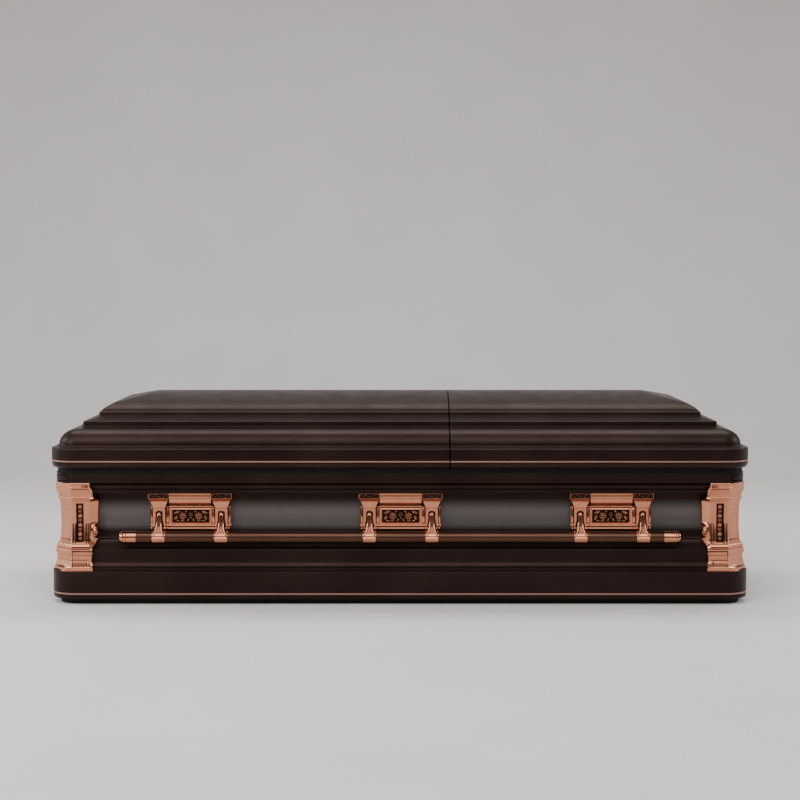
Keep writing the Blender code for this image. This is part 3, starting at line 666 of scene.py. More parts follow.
def base_profile():
    """Outer face of the base moulding: band, ledge, cove, flat and upper cove."""
    body = group("body")
    foot, head = low("base_moulding"), high("base_moulding")
    ledge = foot + body.band_height
    cove = ledge + body.cove_rise
    flat = cove + body.flat_height
    mid = (body.cove_inset + body.upper_inset) / 2
    cove_radius, cove_turn = 0.0257, math.radians(59.0)
    cove_line = []
    for i in range(11):
        turn = cove_turn * (1 - i / 10)
        cove_line.append((body.cove_inset - cove_radius * (1 - math.cos(turn)),
                          cove + 0.0035 - cove_radius * math.sin(turn), 0.0))
    return eased([
        (body.pan_inset - CLEARANCE, foot, 0.0), (0.0, foot, 0.0085), (0.0, ledge, 0.0040)]
        + shifted(body.ledge_inset, ledge, ((-0.001, 0.0005, 0.0008), (-0.0005, 0.0082, 0.0010)))
        + cove_line
        + shifted(body.cove_inset, flat, ((0.0018, -0.0045, 0.001), (0.0012, 0.0, 0.0018)))
        + [(mid, flat + 0.0006, 0.001), (body.upper_inset - 0.0005, flat + 0.0012, 0.001)]
        + arc(body.upper_inset, flat + 0.0020, body.panel_inset - 0.0015, head - 0.0045)
        + shifted(body.panel_inset, head, ((-0.0015, -0.0030, 0.0008), (0.0, -0.0010, 0.0008),
                                           (0.0002, 0.0, 0.0))))


def panel_profile():
    """Hollow face of the side panel."""
    body = group("body")
    foot, head = low("side_panel"), high("side_panel")
    line = []
    for i in range(25):
        share = i / 24
        hollow = body.panel_hollow * (1.0 - (2.0 * share - 1.0) ** 2)
        line.append((body.panel_inset + hollow, foot + (head - foot) * share))
    return line


def rail_profile():
    """Outer face of the rail in three runs: under its flat band, the band, and over it."""
    body = group("body")
    foot, head = low("top_rail"), high("top_rail")
    bead = foot + body.fascia_height
    cap = bead + body.bead_height
    lower = eased(shifted(body.fascia_inset, foot, ((0.002, 0.0, 0.0), (0.0, 0.001, 0.0008)))
                  + shifted(body.fascia_inset, bead, (
                      (0.0, -0.0030, 0.001), (0.003, -0.0022, 0.0006), (0.003, 0.0002, 0.0006)))
                  + shifted(body.bead_inset, bead, (
                      (0.0022, 0.0012, 0.001), (-0.0004, body.bead_height * 0.40, 0.004),
                      (0.0012, body.bead_height * 0.74, 0.002)))
                  + [(body.fascia_inset, bead + body.bead_height * 0.80, 0.001),
                     (body.fascia_inset, cap, 0.0006), (body.rail_inset, cap, 0.0012)])
    face = [(body.rail_inset, cap + 0.0020 + (head - cap - 0.0045) * i / 44) for i in range(45)]
    upper = eased([(body.rail_inset, head - 0.0024, 0.0), (body.rail_inset, head, 0.0018),
                   (body.gasket_inset, head, 0.0)])
    return lower, face, upper[1:]


def lid_profile():
    """Outer face of a lid from its underside to the foot of the crown."""
    lid = group("lid")
    under = low("lid_long")
    rim = under + lid.rim_height
    pillow = rim + lid.fillet_rise
    shoulder = pillow + lid.pillow_rise
    ledge = shoulder + lid.riser_1
    second = ledge + lid.ledge_rise
    crown = second + lid.riser_2
    top = crown + lid.crown_edge
    roll = [(lid.roll * (1 - math.sin(math.pi / 2 * i / 10)) ** 1.25 if i < 10 else 0.0,
             under + lid.roll_height * (1 - math.cos(math.pi / 2 * i / 10)) ** 0.8, 0.0)
            for i in range(11)]
    swell = arc(lid.pillow_inset, pillow + 0.0012, lid.pillow_inset + lid.pillow_run,
                pillow + lid.pillow_rise, 16)[1:]
    return eased(roll + [
        (0.0, rim, 0.0034), (0.0085, rim + 0.0016, 0.002), (0.0150, rim + 0.0022, 0.001),
        (lid.pillow_inset - 0.0020, rim + 0.0050, 0.0012), (lid.pillow_inset, pillow, 0.0008)]
        + swell
        + shifted(lid.riser_1_inset, shoulder, ((-0.0035, 0.0012, 0.001), (-0.0005, 0.0040, 0.002)))
        + shifted(lid.riser_1_inset, ledge, ((0.0004, -0.0016, 0.001), (0.0040, 0.0, 0.0022)))
        + [(lid.riser_2_inset - 0.018, ledge + lid.ledge_rise * 0.45, 0.004)]
        + shifted(lid.riser_2_inset, second, ((-0.001, 0.0, 0.0014), (0.0006, 0.003, 0.001)))
        + shifted(lid.riser_2_inset, crown, (
            (0.0022, -0.0016, 0.001), (0.0055, 0.0, 0.0018), (0.0100, lid.crown_edge * 0.21, 0.002),
            (0.0185, lid.crown_edge * 0.48, 0.004)))
        + [(lid.crown_inset, top, 0.0)])


class CASKET_OT_base(bpy.types.Operator):
    """Bottom pan and stepped base moulding"""
    bl_idname = "casket.base"
    bl_label = "Base and pan"

    def execute(self, context):
        body = group("body")
        foot, head = low("base_moulding"), high("base_moulding")
        t = body.sheet
        ledge = foot + body.band_height
        inside = [
            (body.panel_inset + body.flange, head), (body.panel_inset + body.flange, head - t),
            (body.panel_inset + t, head - t), (body.panel_inset + t, head - 0.014),
            (body.upper_inset + 2 * t, head - 0.035), (body.cove_inset + 3 * t, ledge + 0.014),
            (body.ledge_inset + 3 * t, ledge - t), (t, ledge - 2 * t), (t, foot + t),
            (body.pan_inset - CLEARANCE, foot + t)]
        skin = swept(base_profile() + inside, look("base_enamel"))
        skin.make("base_moulding_lacquer", look("base_enamel"), "casket", ["base_moulding"],
                  "dark_enamel")
        pan = Skin()
        rows = []
        for inset, z in ((body.pan_inset + 0.010, 0.0), (body.pan_inset + 0.003, 0.0006),
                         (body.pan_inset + 0.0006, 0.003), (body.pan_inset, 0.010),
                         (body.pan_inset, body.pan_wall),
                         (body.pan_inset + t, body.pan_wall), (body.pan_inset + t, t)):
            rows.append([(x, y, z) for x, y in plan(inset, inset)])
        pan.grid(rows, caps=True)
        # The pan is dull black as painted shade in the gap under the base.
        pan.make("bottom_pan_lacquer", look("pan_black"), "casket", ["bottom_pan"], "dark_enamel")
        return {"FINISHED"}


class CASKET_OT_side(bpy.types.Operator):
    """Brushed hollow-faced side panel"""
    bl_idname = "casket.side"
    bl_label = "Brushed side"

    def execute(self, context):
        body = group("body")
        t = body.sheet
        outer = panel_profile()
        foot, head = outer[0][1], outer[-1][1]
        inner = [(inset + t, z) for inset, z in reversed(outer[1:-1])]
        edge = body.panel_inset + body.flange
        loop = outer + [(edge, head), (edge, head - t)] + inner + [(edge, foot + t), (edge, foot)]
        swept(loop, look("brushed_side")).make("side_panel_brushed", look("brushed_side"),
                                               "casket", ["side_panel"], "brushed_panel")
        return {"FINISHED"}


def rail_angles():
    """Angles round a corner from its end, close together where the rail's groove turns back."""
    body = group("body")
    reach = body.corner_radius - body.rail_inset
    turn = math.acos((body.corner_radius - body.groove_start) / reach)
    extra = [turn + 0.05 - 0.30 * i / 34 for i in range(35)]
    return sorted({math.pi / 2 * i / 24 for i in range(25)} | set(extra))


def rail_row(inset, z, groove, angles):
    """One row of the rail: the plan at an inset, sunk by groove(x, z) near the ends."""
    body = group("body")
    round_x = body.length / 2 - body.corner_radius
    round_y = body.width / 2 - body.corner_radius
    radius = max(body.corner_radius - inset, 0.010)
    points = []
    for quarter, (sx, sy) in enumerate(((1, 1), (-1, 1), (-1, -1), (1, -1))):
        turns = angles if quarter % 2 == 0 else [math.pi / 2 - a for a in angles[::-1]]
        grow = body.corner_radius - inset - radius
        for turn in turns:
            a = turn + quarter * math.pi / 2
            x = sx * (round_x + grow) + radius * math.cos(a)
            y = sy * (round_y + grow) + radius * math.sin(a)
            sink = groove(abs(x), z)
            points.append((x - sink * math.cos(a), y - sink * math.sin(a), z))
    return points


class CASKET_OT_rail(bpy.types.Operator):
    """Top rail with a groove round each end, and the sealing strip on it"""
    bl_idname = "casket.rail"
    bl_label = "Rail and seal"

    def execute(self, context):
        body = group("body")
        t = body.sheet
        lower, face, upper = rail_profile()
        foot, head = low("top_rail"), high("top_rail")
        middle = (face[0][1] + face[-1][1]) / 2
        half = (face[-1][1] - face[0][1]) / 2 - 0.0022
        start = body.length / 2 - body.groove_start

        def groove(x, z):
            over = math.hypot(min(x - start - half, 0.0), z - middle)
            wide = 0.0016 if z < middle else 0.0021
            away = abs(over - (half - 0.0012)) / wide
            return body.groove_depth * (1 - min(away, 1.0) ** 2)

        outer = lower + face + upper
        seat = body.gasket_inset + body.gasket_width + 0.012
        inner = [
            (seat, head), (seat, head - t), (body.rail_inset + body.groove_depth + t, head - 2 * t),
            (body.rail_inset + body.groove_depth + t, face[0][1] + t),
            (body.fascia_inset + 3 * t, face[0][1] - 0.004), (body.fascia_inset + 3 * t, foot + t),
            (body.panel_inset + body.flange, foot + t), (body.panel_inset + body.flange, foot)]
        faces = set(face)
        angles = rail_angles()
        rows = [rail_row(inset, z, groove if (inset, z) in faces else lambda x, z: 0.0, angles)
                for inset, z in outer + inner]
        Skin().grid(rows, close=True).make("top_rail_lacquer", look("enamel"), "casket",
                                           ["top_rail"], "dark_enamel")
        z0, z1 = low("gasket"), high("gasket")
        a, b = body.gasket_inset, body.gasket_inset + body.gasket_width
        loop = eased([(b, z0, 0.0)] + shifted(a, z0, (
            (0.0, 0.0, 0.001), (0.0, 0.005, 0.001), (0.002, 0.0065, 0.0008),
            (0.002, 0.0080, 0.0008), (0.0, 0.0095, 0.001))) + [(a, z1, 0.001), (b, z1, 0.0)])
        swept(loop, look("sealing_rubber")).make("sealing_strip", look("sealing_rubber"),
                                                 "casket", ["gasket"], "gasket_rubber")
        return {"FINISHED"}


def lid_ring(inset_x, inset_y, z, cut, side, tuck=0.0):
    """A closed ring of one lid: the plan on its side of the split, rounded at the split."""
    ring = [p for p in plan(inset_x, inset_y) if side * p[0] > side * cut]
    if side < 0:
        front = [p for p in ring if p[1] <= 0]
        back = [p for p in ring if p[1] > 0]
        ordered = back + front
    else:
        count = len(ring) // 2
        ordered = ring[count:] + ring[:count]
    half_y = abs(ordered[0][1])
    first, last = ordered[0], ordered[-1]
    steps = ((0.0030, 0.0), (0.0014, 0.00025), (0.0006, 0.0007), (0.0, 0.0016))
    lead = [(cut + side * dx, math.copysign(max(half_y - dy - tuck, 0.0), first[1]))
            for dx, dy in reversed(steps)]
    tail = [(cut + side * dx, math.copysign(max(half_y - dy - tuck, 0.0), last[1]))
            for dx, dy in steps]
    return [(x, y, z) for x, y in lead + ordered + tail]


def lid_skin(side):
    """One lid as a closed sheet: outer face, inner face and the turned-in rim between them."""
    lid, body = group("lid"), group("body")
    t = body.sheet
    cut = lid.split_x + side * lid.split_gap / 2
    profile = lid_profile()
    under = profile[0][1]
    rows = [lid_ring(inset, inset, z, cut, side) for inset, z in profile]
    top = profile[-1][1]
    length = 16

    def crown(start, drop, place, where):
        made = []
        for i in range(1, length + 1):
            share = i / length
            rise = 2.0 * share - share * share
            inset_y = start + (body.width / 2 - start) * share
            made.append(lid_ring(start + lid.crown_end_run * rise, inset_y,
                                 top - drop + lid.crown_rise * rise, place, where))
        return made

    rows += crown(lid.crown_inset, 0.0, cut, side)
    inside = cut + side * t
    path = [(lid.roll + 2 * t, under + t), (t, under + lid.roll_height)]
    path += [(t, under + lid.rim_height - 0.006),
             (lid.pillow_inset + t, under + lid.rim_height - 0.002)]
    for i in range(0, 9):
        turn = math.pi / 2 * i / 8
        path.append((lid.pillow_inset + 2 * t + (lid.pillow_run - t) * (1 - math.cos(turn)),
                     under + lid.rim_height + lid.fillet_rise
                     + (lid.pillow_rise - 1.5 * t) * math.sin(turn)))
    shoulder = under + lid.rim_height + lid.fillet_rise + lid.pillow_rise
    path += [(lid.riser_1_inset + 2 * t, shoulder + t),
             (lid.riser_1_inset + 0.004 + t, shoulder + lid.riser_1 - t),
             (lid.riser_2_inset + t, shoulder + lid.riser_1 + lid.ledge_rise - 2 * t),
             (lid.riser_2_inset + 0.008, top - lid.crown_edge - t),
             (lid.crown_inset + t, top - 2 * t)]
    inner = [lid_ring(inset, inset, z, inside, side) for inset, z in path]
    inner += crown(lid.crown_inset + t, 2 * t, inside, side)
    hem = cut + side * 0.025
    lips = [lid_ring(lid.return_inset, lid.return_inset, z, hem, side)
            for z in (under + t, under)]
    return Skin().grid(inner[::-1] + lips + rows)


class CASKET_OT_lids(bpy.types.Operator):
    """Two hollow lids"""
    bl_idname = "casket.lids"
    bl_label = "Lids"

    def execute(self, context):
        for node, side in (("lid_long", -1), ("lid_short", 1)):
            lid_skin(side).make(node + "_lacquer", look("lid_enamel"), "casket", [node],
                                "dark_enamel")
        return {"FINISHED"}


def between(table, z):
    """Value of a (height, value) table at a height, on a smooth curve without overshoot."""
    if z <= table[0][0]:
        return table[0][1]
    if z >= table[-1][0]:
        return table[-1][1]
    slopes = [(b - a) / max(z1 - z0, 1e-9) for (z0, a), (z1, b) in zip(table, table[1:])]

    def tangent(k):
        before, after = slopes[max(k - 1, 0)], slopes[min(k, len(slopes) - 1)]
        return 2 * before * after / (before + after) if before * after > 0 else 0.0
    for k, ((z0, a), (z1, b)) in enumerate(zip(table, table[1:])):
        if z <= z1:
            run = z1 - z0
            t = (z - z0) / max(run, 1e-9)
            ease = t * t * (3 - 2 * t)
            return a + (b - a) * ease + run * t * (1 - t) * (
                tangent(k) * (1 - t) - tangent(k + 1) * t)
    return table[-1][1]


def window(value, start, end, soft):
    """1 well inside a range, 0 outside, with a ramp of the given width."""
    return max(0.0, min(1.0, (value - start) / soft + 0.5, (end - value) / soft + 0.5))


def patch(across, z, start, end, foot, head, soft, soft_z):
    """1 well inside a rectangle, 0 outside, with a ramp along each side."""
    return window(across, start, end, soft) * window(z, foot, head, soft_z)


def ornament_face():
    """Moulded profile of an ornament's front and corner facets, bottom to top."""
    foot, head = low("corner_front_left"), high("corner_front_left")
    corners = shifted(0.0, foot, (
        (0.0068, 0.0, 0.0), (0.0060, 0.0012, 0.001), (0.0062, 0.0104, 0.0016),
        (0.0082, 0.0118, 0.0010), (0.0100, 0.0190, 0.003), (0.0126, 0.0268, 0.001),
        (0.0136, 0.0292, 0.0006), (0.0120, 0.0300, 0.0006), (0.0120, 0.0318, 0.0006),
        (0.0142, 0.0330, 0.001), (0.0142, 0.0470, 0.001), (0.0112, 0.0486, 0.0012),
        (0.0098, 0.0560, 0.0045), (0.0112, 0.0640, 0.0012), (0.0150, 0.0655, 0.0008),
        (0.0150, 0.0668, 0.0005), (0.0120, 0.0684, 0.001), (0.0128, 0.0750, 0.004),
        (0.0172, 0.0808, 0.002), (0.0200, 0.0825, 0.001), (0.0200, 0.0856, 0.001),
        (0.0228, 0.0872, 0.001), (0.0240, 0.0935, 0.004), (0.0262, 0.1180, 0.010),
        (0.0274, 0.1400, 0.010), (0.0268, 0.1750, 0.010), (0.0252, 0.2060, 0.003),
        (0.0236, 0.2110, 0.0008), (0.0220, 0.2130, 0.0008), (0.0220, 0.2150, 0.0005),
        (0.0190, 0.2162, 0.001), (0.0181, 0.2198, 0.0022), (0.0192, 0.2236, 0.001),
        (0.0215, 0.2250, 0.0006), (0.0205, 0.2280, 0.001), (0.0180, 0.2345, 0.004),
        (0.0146, 0.2415, 0.004), (0.0118, 0.2468, 0.001), (0.0118, 0.2484, 0.0005),
        (0.0132, 0.2492, 0.0005), (0.0118, 0.2510, 0.0007), (0.0118, 0.2545, 0.0007),
        (0.0126, 0.2552, 0.0004), (0.0121, 0.2625, 0.0004), (0.0114, 0.2636, 0.0006),
        (0.0114, 0.2668, 0.0010))) + [(0.0128, head, 0.0)]
    line = eased(corners, 2)
    fine = [line[0]]
    for a, b in zip(line, line[1:]):
        parts = max(1, int((b[1] - a[1]) / 0.0016))
        for i in range(1, parts + 1):
            fine.append((a[0] + (b[0] - a[0]) * i / parts, a[1] + (b[1] - a[1]) * i / parts))
    return fine


def body_line():
    """The body's own face behind the ornaments, as (height, inset)."""
    foot = low("corner_front_left") - 0.002
    lower, band, _ = rail_profile()
    face = [p for p in base_profile() if p[1] > foot][1:] + panel_profile()
    face += [p for p in lower if p[1] < band[0][1] - 0.003]
    return [(height, inset) for inset, height in face]


def body_inset(z, line):
    """Inset of the body's own face at a height."""
    for (z0, a), (z1, b) in zip(line, line[1:]):
        if z0 <= z <= z1:
            return a + (b - a) * (z - z0) / max(z1 - z0, 1e-9)
    return line[-1][1]


def facet_relief(across, z, wide):
    """Rise of a corner facet at a distance from its middle: a hatched field in a sunk line."""
    cast = group("ornament")
    field = patch(across, z, -1.0, wide - 0.0105, cast.hatch_low, cast.hatch_high, 0.0008, 0.0008)
    border = patch(across, z, -1.0, wide - 0.0085, cast.hatch_low - 0.002,
                   cast.hatch_high + 0.002, 0.0008, 0.0008)
    turn = 2 * math.pi / cast.hatch_pitch
    hatch = math.sin(across * turn) * math.sin(z * turn)
    return 0.0005 * field * hatch - 0.0006 * field - 0.0012 * (border - field)


def ornament_grooves(foot):
    """Sunk lines of a face as (start, end, foot, head, soft, soft_z, depth, ink)."""
    cast = group("ornament")
    arris = cast.facet_start
    grooves = [(place - 0.0017, place + 0.0017, cast.flute_low, cast.flute_high, 0.0016, 0.0030,
                0.0016, 1.0) for place in (arris + 0.0030, arris + 0.0112, cast.tile_end + 0.0089,
                                           cast.tile_end + 0.0150)]
    joint = (0.1122, 0.1146, foot + 0.0125, foot + 0.0310, 0.0014, 0.0030, 0.0012, 0.8)
    mitre = (arris + 0.0014, arris + 0.0030, foot + 0.0110, foot + 0.0560, 0.0010, 0.0020,
             0.0012, 0.7)
    return grooves + [joint, mitre]


def scroll_relief(s, z, foot):
    """Rise of the scroll on the wing: a boss with a spiral line."""
    cast = group("ornament")
    run, rise = s - cast.scroll_place, z - foot - cast.scroll_height
    across = math.hypot(run * 1.60, rise * 0.78)
    if across >= cast.scroll_reach:
        return 0.0
    share = across / cast.scroll_reach
    swell = math.cos(share * math.pi / 2)
    curl = math.sin(share * 3.2 * math.pi + math.atan2(rise, run))
    return swell * (cast.scroll_rise + 0.0016 * curl * min(across / 0.006, 1.0))


def leaf_relief(s, z, root, tip):
    """Rise of a ribbed leaf laid on the face from its root to its tip."""
    run, rise = tip[0] - root[0], tip[1] - root[1]
    t = ((s - root[0]) * run + (z - root[1]) * rise) / (run ** 2 + rise ** 2)
    if not 0.0 < t < 1.0:
        return 0.0
    off = math.hypot(s - root[0] - t * run, z - root[1] - t * rise)
    wide = group("ornament").leaf_width * math.sin(math.pi * t) ** 0.7 + 1e-6
    if off >= wide:
        return 0.0
    vein = math.exp(-(off / 0.0011) ** 2)
    ribs = 0.5 + 0.5 * math.cos((t * 9.0 - off * 120.0) * 2 * math.pi)
    return 0.0034 * math.sqrt(1 - (off / wide) ** 2) - 0.0014 * vein - 0.0006 * ribs


def face_relief(s, z, foot, grooves):
    """Rise and inlay mask of an ornament's face at a distance s from the casket's end."""
    cast = group("ornament")
    frame_width = 0.0024
    tile = patch(s, z, cast.tile_start, cast.tile_end, cast.tile_low, cast.tile_high,
                 0.0010, 0.0012)
    border = patch(s, z, cast.tile_start - frame_width, cast.tile_end + frame_width,
                   cast.tile_low - frame_width, cast.tile_high + frame_width, 0.0010, 0.0012)
    rise = 0.0007 * (border - tile) - cast.inlay_depth * tile
    ink = tile
    for *place, depth, dark in grooves:
        groove = patch(s, z, *place)
        rise -= depth * groove
        ink = max(ink, groove * dark)
    slot = patch(s, z, 0.1000, 0.1200, foot + 0.2552, foot + 0.2626, 0.001, 0.001)
    stripes = 0.5 + 0.5 * math.sin((s + z * 0.8) * 2 * math.pi / 0.0034)
    rise -= 0.0010 * slot - 0.0005 * slot * stripes
    ink = max(ink, slot * (1.0 if stripes < 0.45 else 0.2))
    dot = math.hypot(s - cast.facet_start - 0.0026, z - foot - 0.0545)
    ink = max(ink, window(dot, -1.0, 0.0024, 0.0010))
    rise += scroll_relief(s, z, foot)
    rise += leaf_relief(s, z, (0.1205, foot + 0.2605), (0.1435, foot + 0.2150))
    return rise, ink


def ornament_skin():
    """One corner ornament for the corner at +X, +Y, as a closed relief round the corner."""
    body, cast = group("body"), group("ornament")
    half_x, half_y = body.length / 2, body.width / 2
    profile = ornament_face()
    foot, head = profile[0][1], profile[-1][1]
    height = head - foot
    reach = [(foot + height * s, r) for s, r in (
        (0.0, 0.40), (0.045, 0.40), (0.10, 0.28), (0.125, 0.25), (0.165, 0.27), (0.20, 0.37),
        (0.235, 0.35), (0.25, 0.30), (0.27, 0.36), (0.30, 0.56), (0.33, 0.78), (0.355, 0.92),
        (0.41, 0.94), (0.455, 0.90), (0.475, 0.84), (0.50, 0.90), (0.54, 0.91), (0.60, 0.91),
        (0.70, 0.94), (0.77, 0.99), (0.798, 1.0), (0.808, 0.84), (0.818, 0.60), (0.84, 0.48),
        (0.86, 0.42), (0.90, 0.44), (0.93, 0.36), (0.95, 0.20), (1.0, 0.14))]
    side = [(foot + height * s, i) for s, i in (
        (0.0, 0.0062), (0.045, 0.0066), (0.11, 0.0135), (0.17, 0.0142), (0.20, 0.0108),
        (0.235, 0.0122), (0.25, 0.0150), (0.27, 0.0190), (0.30, 0.0290), (0.33, 0.0380),
        (0.355, 0.0380), (0.39, 0.0300), (0.44, 0.0260), (0.49, 0.0290), (0.52, 0.0400),
        (0.545, 0.0455), (0.79, 0.0450), (0.805, 0.0330), (0.818, 0.0210), (0.83, 0.0225),
        (0.86, 0.0200), (0.93, 0.0125), (1.0, 0.0128))]
    grooves = ornament_grooves(foot)
    rows, masks = [], []
    body_table = body_line()
    for face, z in profile:
        back = body_inset(z, body_table) + 0.0004
        face = min(face, back - cast.wall)
        radius = body.corner_radius - back
        edge_inset = min(between(side, z), back - 0.0045)
        edge = cast.facet_end + (cast.wing_end - cast.facet_end) * between(reach, z)
        half = []
        for i in range(4):
            t = i / 4
            half.append((edge, back + (edge_inset - back) * t, 0.0))
        for i in range(16):
            t = i / 16
            s = edge + (cast.facet_end - edge) * t
            inset = edge_inset + (face - edge_inset) * t ** 0.85
            slope = (edge_inset - face) / max(edge - cast.facet_end, 1e-4)
            up = 1.0 / math.sqrt(1 + slope * slope)
            lift, ink = face_relief(s, z, foot, grooves)
            fade = min(t * 6, 1.0)
            half.append((s + lift * slope * up * fade, inset - lift * up, ink))
        count = 46
        for i in range(count + 1):
            s = cast.facet_end + (cast.facet_start - cast.facet_end) * i / count
            lift, ink = face_relief(s, z, foot, grooves)
            half.append((s, face - lift, ink))
        mid_s = min((cast.facet_start + face) / 2,
                    body.corner_radius - (radius + cast.wall) * math.sqrt(0.5))
        for i in range(1, 19):
            t = i / 18
            s = cast.facet_start + (mid_s - cast.facet_start) * t
            inset = face + (mid_s - face) * t
            wide = (cast.facet_start - face) * math.sqrt(0.5)
            lift = facet_relief((1 - t) * wide, z, wide) * math.sqrt(0.5)
            half.append((s - lift, inset - lift, 0.0))
        points = [(half_x - s, half_y - inset, z) for s, inset, _ in half]
        points += [(half_x - inset, half_y - s, z) for s, inset, _ in half[-2::-1]]
        ink = [h[2] for h in half] + [h[2] for h in half[-2::-1]]
        inner = []
        for step in range(9):
            angle = math.pi / 2 * step / 8
            inner.append((half_x - body.corner_radius + radius * math.cos(angle),
                          half_y - body.corner_radius + radius * math.sin(angle), z))
        rows.append(points + inner)
        masks.append(ink + [0.0] * len(inner))
    skin = Skin().grid(rows, masks, caps=True)
    return skin, profile


def lens(outline, rise, vein=0.0):
    """A closed pillow over an outline in its own plane, with an optional sunk midrib."""
    count = len(outline)
    cx = sum(p[0] for p in outline) / count
    cy = sum(p[1] for p in outline) / count
    rim = [(x, y, 0.0) for x, y in outline]
    ring = [(cx + (x - cx) * 0.62, cy + (y - cy) * 0.62, rise * 0.85) for x, y in outline]
    points = rim + ring + [(cx, cy, rise * (1.0 - vein)), (cx, cy, -rise * 0.3)]
    faces = []
    for i in range(count):
        j = (i + 1) % count
        faces += [(i, j, count + j, count + i), (count + i, count + j, 2 * count),
                  (j, i, 2 * count + 1)]
    return Skin().add(points, faces)


def petal(length=1.0, width=0.9):
    """Rounded petal with its root at the origin and its tip along +Y."""
    outline = []
    for i in range(10):
        angle = 2 * math.pi * i / 10
        wide = width / 2 * (0.72 + 0.28 * math.sin(angle))
        outline.append((wide * math.cos(angle), length / 2 + length / 2 * math.sin(angle)))
    return lens(outline, 0.26)


def leaf_shape():
    """Pointed leaf with its root at the origin and its tip along +Y."""
    outline = []
    for i in range(6):
        t = i / 6
        outline.append((0.30 * math.sin(math.pi * t ** 0.8), t))
    outline += [(0.0, 1.0)] + [(-x, y) for x, y in outline[:0:-1]]
    return lens(outline, 0.20, 0.55)


def spin_of(turn, facing=0.0):
    """Euler turn that stands a motif on a face: facing 0 is the front, turn is clockwise."""
    return (math.pi / 2, turn, facing)


def rose_places(cx, cz, y, radius, seed):
    """Places of a rose's petals, in rings that rise towards the middle."""
    random.seed(seed)
    places = []
    for ring, (number, root, length, lift) in enumerate((
            (9, 0.36, 0.64, 0.00), (7, 0.16, 0.58, 0.16), (5, 0.02, 0.42, 0.30),
            (3, -0.04, 0.24, 0.42))):
        for i in range(number):
            turn = 2 * math.pi * (i + 0.5 * ring) / number + random.uniform(-0.12, 0.12)
            x = cx + radius * root * math.sin(turn)
            z = cz + radius * root * math.cos(turn)
            grow = length * random.uniform(0.92, 1.06)
            places.append(((x, y - radius * lift * 0.35, z), spin_of(turn),
                           (radius * grow * 1.15, radius * grow, radius * 0.75)))
    return places


def foliage(petals, leaves):
    """Copper petals and leaves at their places, as one skin."""
    finish = look("rose_copper")
    return scattered(petal(), petals, finish).join(scattered(leaf_shape(), leaves, finish))


def cast_piece(skin, node, body="casket"):
    """Make a skin into the copper casting that stands for one CAD node."""
    skin.make(node + "_copper", look("rose_copper"), body, [node], "copper_plate")


class CASKET_OT_ornaments(bpy.types.Operator):
    """Cast copper ornaments on the four corners"""
    bl_idname = "casket.ornaments"
    bl_label = "Corner ornaments"

    def execute(self, context):
        body, cast = group("body"), group("ornament")
        skin, profile = ornament_skin()

        def face_at(z):
            for (a, z0), (b, z1) in zip(profile, profile[1:]):
                if z0 <= z <= z1 and z1 > z0:
                    return a + (b - a) * (z - z0) / (z1 - z0)
            return profile[-1][0]

        def front_y(z):
            return -(body.width / 2 - face_at(z) - cast.inlay_depth)

        middle = body.length / 2 - (cast.tile_start + cast.tile_end) / 2
        petals, leaves = [], []
        count = 8
        pitch = (cast.tile_high - cast.tile_low - 0.006) / count
        for i in range(count):
            z = cast.tile_low + 0.003 + pitch * (i + 0.5)
            if i % 2 == 0:
                for k in range(6):
                    turn = 2 * math.pi * k / 6
                    x = middle + 0.0012 * math.sin(turn)
                    petals.append(((x, front_y(z), z + 0.0012 * math.cos(turn)), spin_of(turn),
                                   (0.0052, 0.0052, 0.0046)))
                petals.append(((middle, front_y(z) - 0.0006, z - 0.0018), spin_of(0.0),
                               (0.0042, 0.0036, 0.0046)))
            else:
                for turn in (-62, 62, -128, 128, 0):
                    leaves.append(((middle, front_y(z), z - 0.0015), spin_of(math.radians(turn)),
                                   (0.0095, 0.0085, 0.0060)))
                leaves.append(((middle, front_y(z), z), spin_of(math.pi),
                               (0.0070, 0.0070, 0.0060)))
        motifs = foliage(petals, leaves)
        flipped = Skin().join(motifs, flip=(1, -1))
        skin.join(flipped)
        turned_motifs = [(body.length / 2 - (body.width / 2 - y), body.width / 2
                          - (body.length / 2 - x), z) for x, y, z in flipped.points]
        skin.add(turned_motifs, flipped.faces, flipped.ink)
        for word_y, sign_y, word_x, sign_x in CORNERS:
            node = "corner_" + word_y + "_" + word_x
            cast_piece(Skin().join(skin, flip=(sign_x, sign_y)), node)
        return {"FINISHED"}


def slab(levels, bevel=0.0006):
    """Upright slab from (height, low x, high x, front inset, back inset) levels, front bevelled."""
    rows = []
    half = group("body").width / 2
    for z, x0, x1, front, back in levels:
        y0, y1 = -(half - front), -(half - back)
        b = min(bevel, (x1 - x0) * 0.3)
        rows.append([(x0, y1, z), (x0, y0 + b * 1.4, z), (x0, y0 + b, z),
                     (x0 + b * 0.3, y0 + b * 0.3, z), (x0 + b, y0, z), (x0 + b * 1.4, y0, z),
                     (x1 - b * 1.4, y0, z), (x1 - b, y0, z), (x1 - b * 0.3, y0 + b * 0.3, z),
                     (x1, y0 + b, z), (x1, y0 + b * 1.4, z), (x1, y1, z)])
    return Skin().grid(rows, caps=True)


def moulded(corners, x0, x1, back, taper=None, bevel=0.0006):
    """Slab whose front follows an eased (inset, height, ease) profile."""
    levels = []
    for inset, z in eased(corners, 3):
        grow = taper(z) if taper else 0.0
        levels.append((z, x0 - grow, x1 + grow, inset, back))
    return slab(levels, bevel)


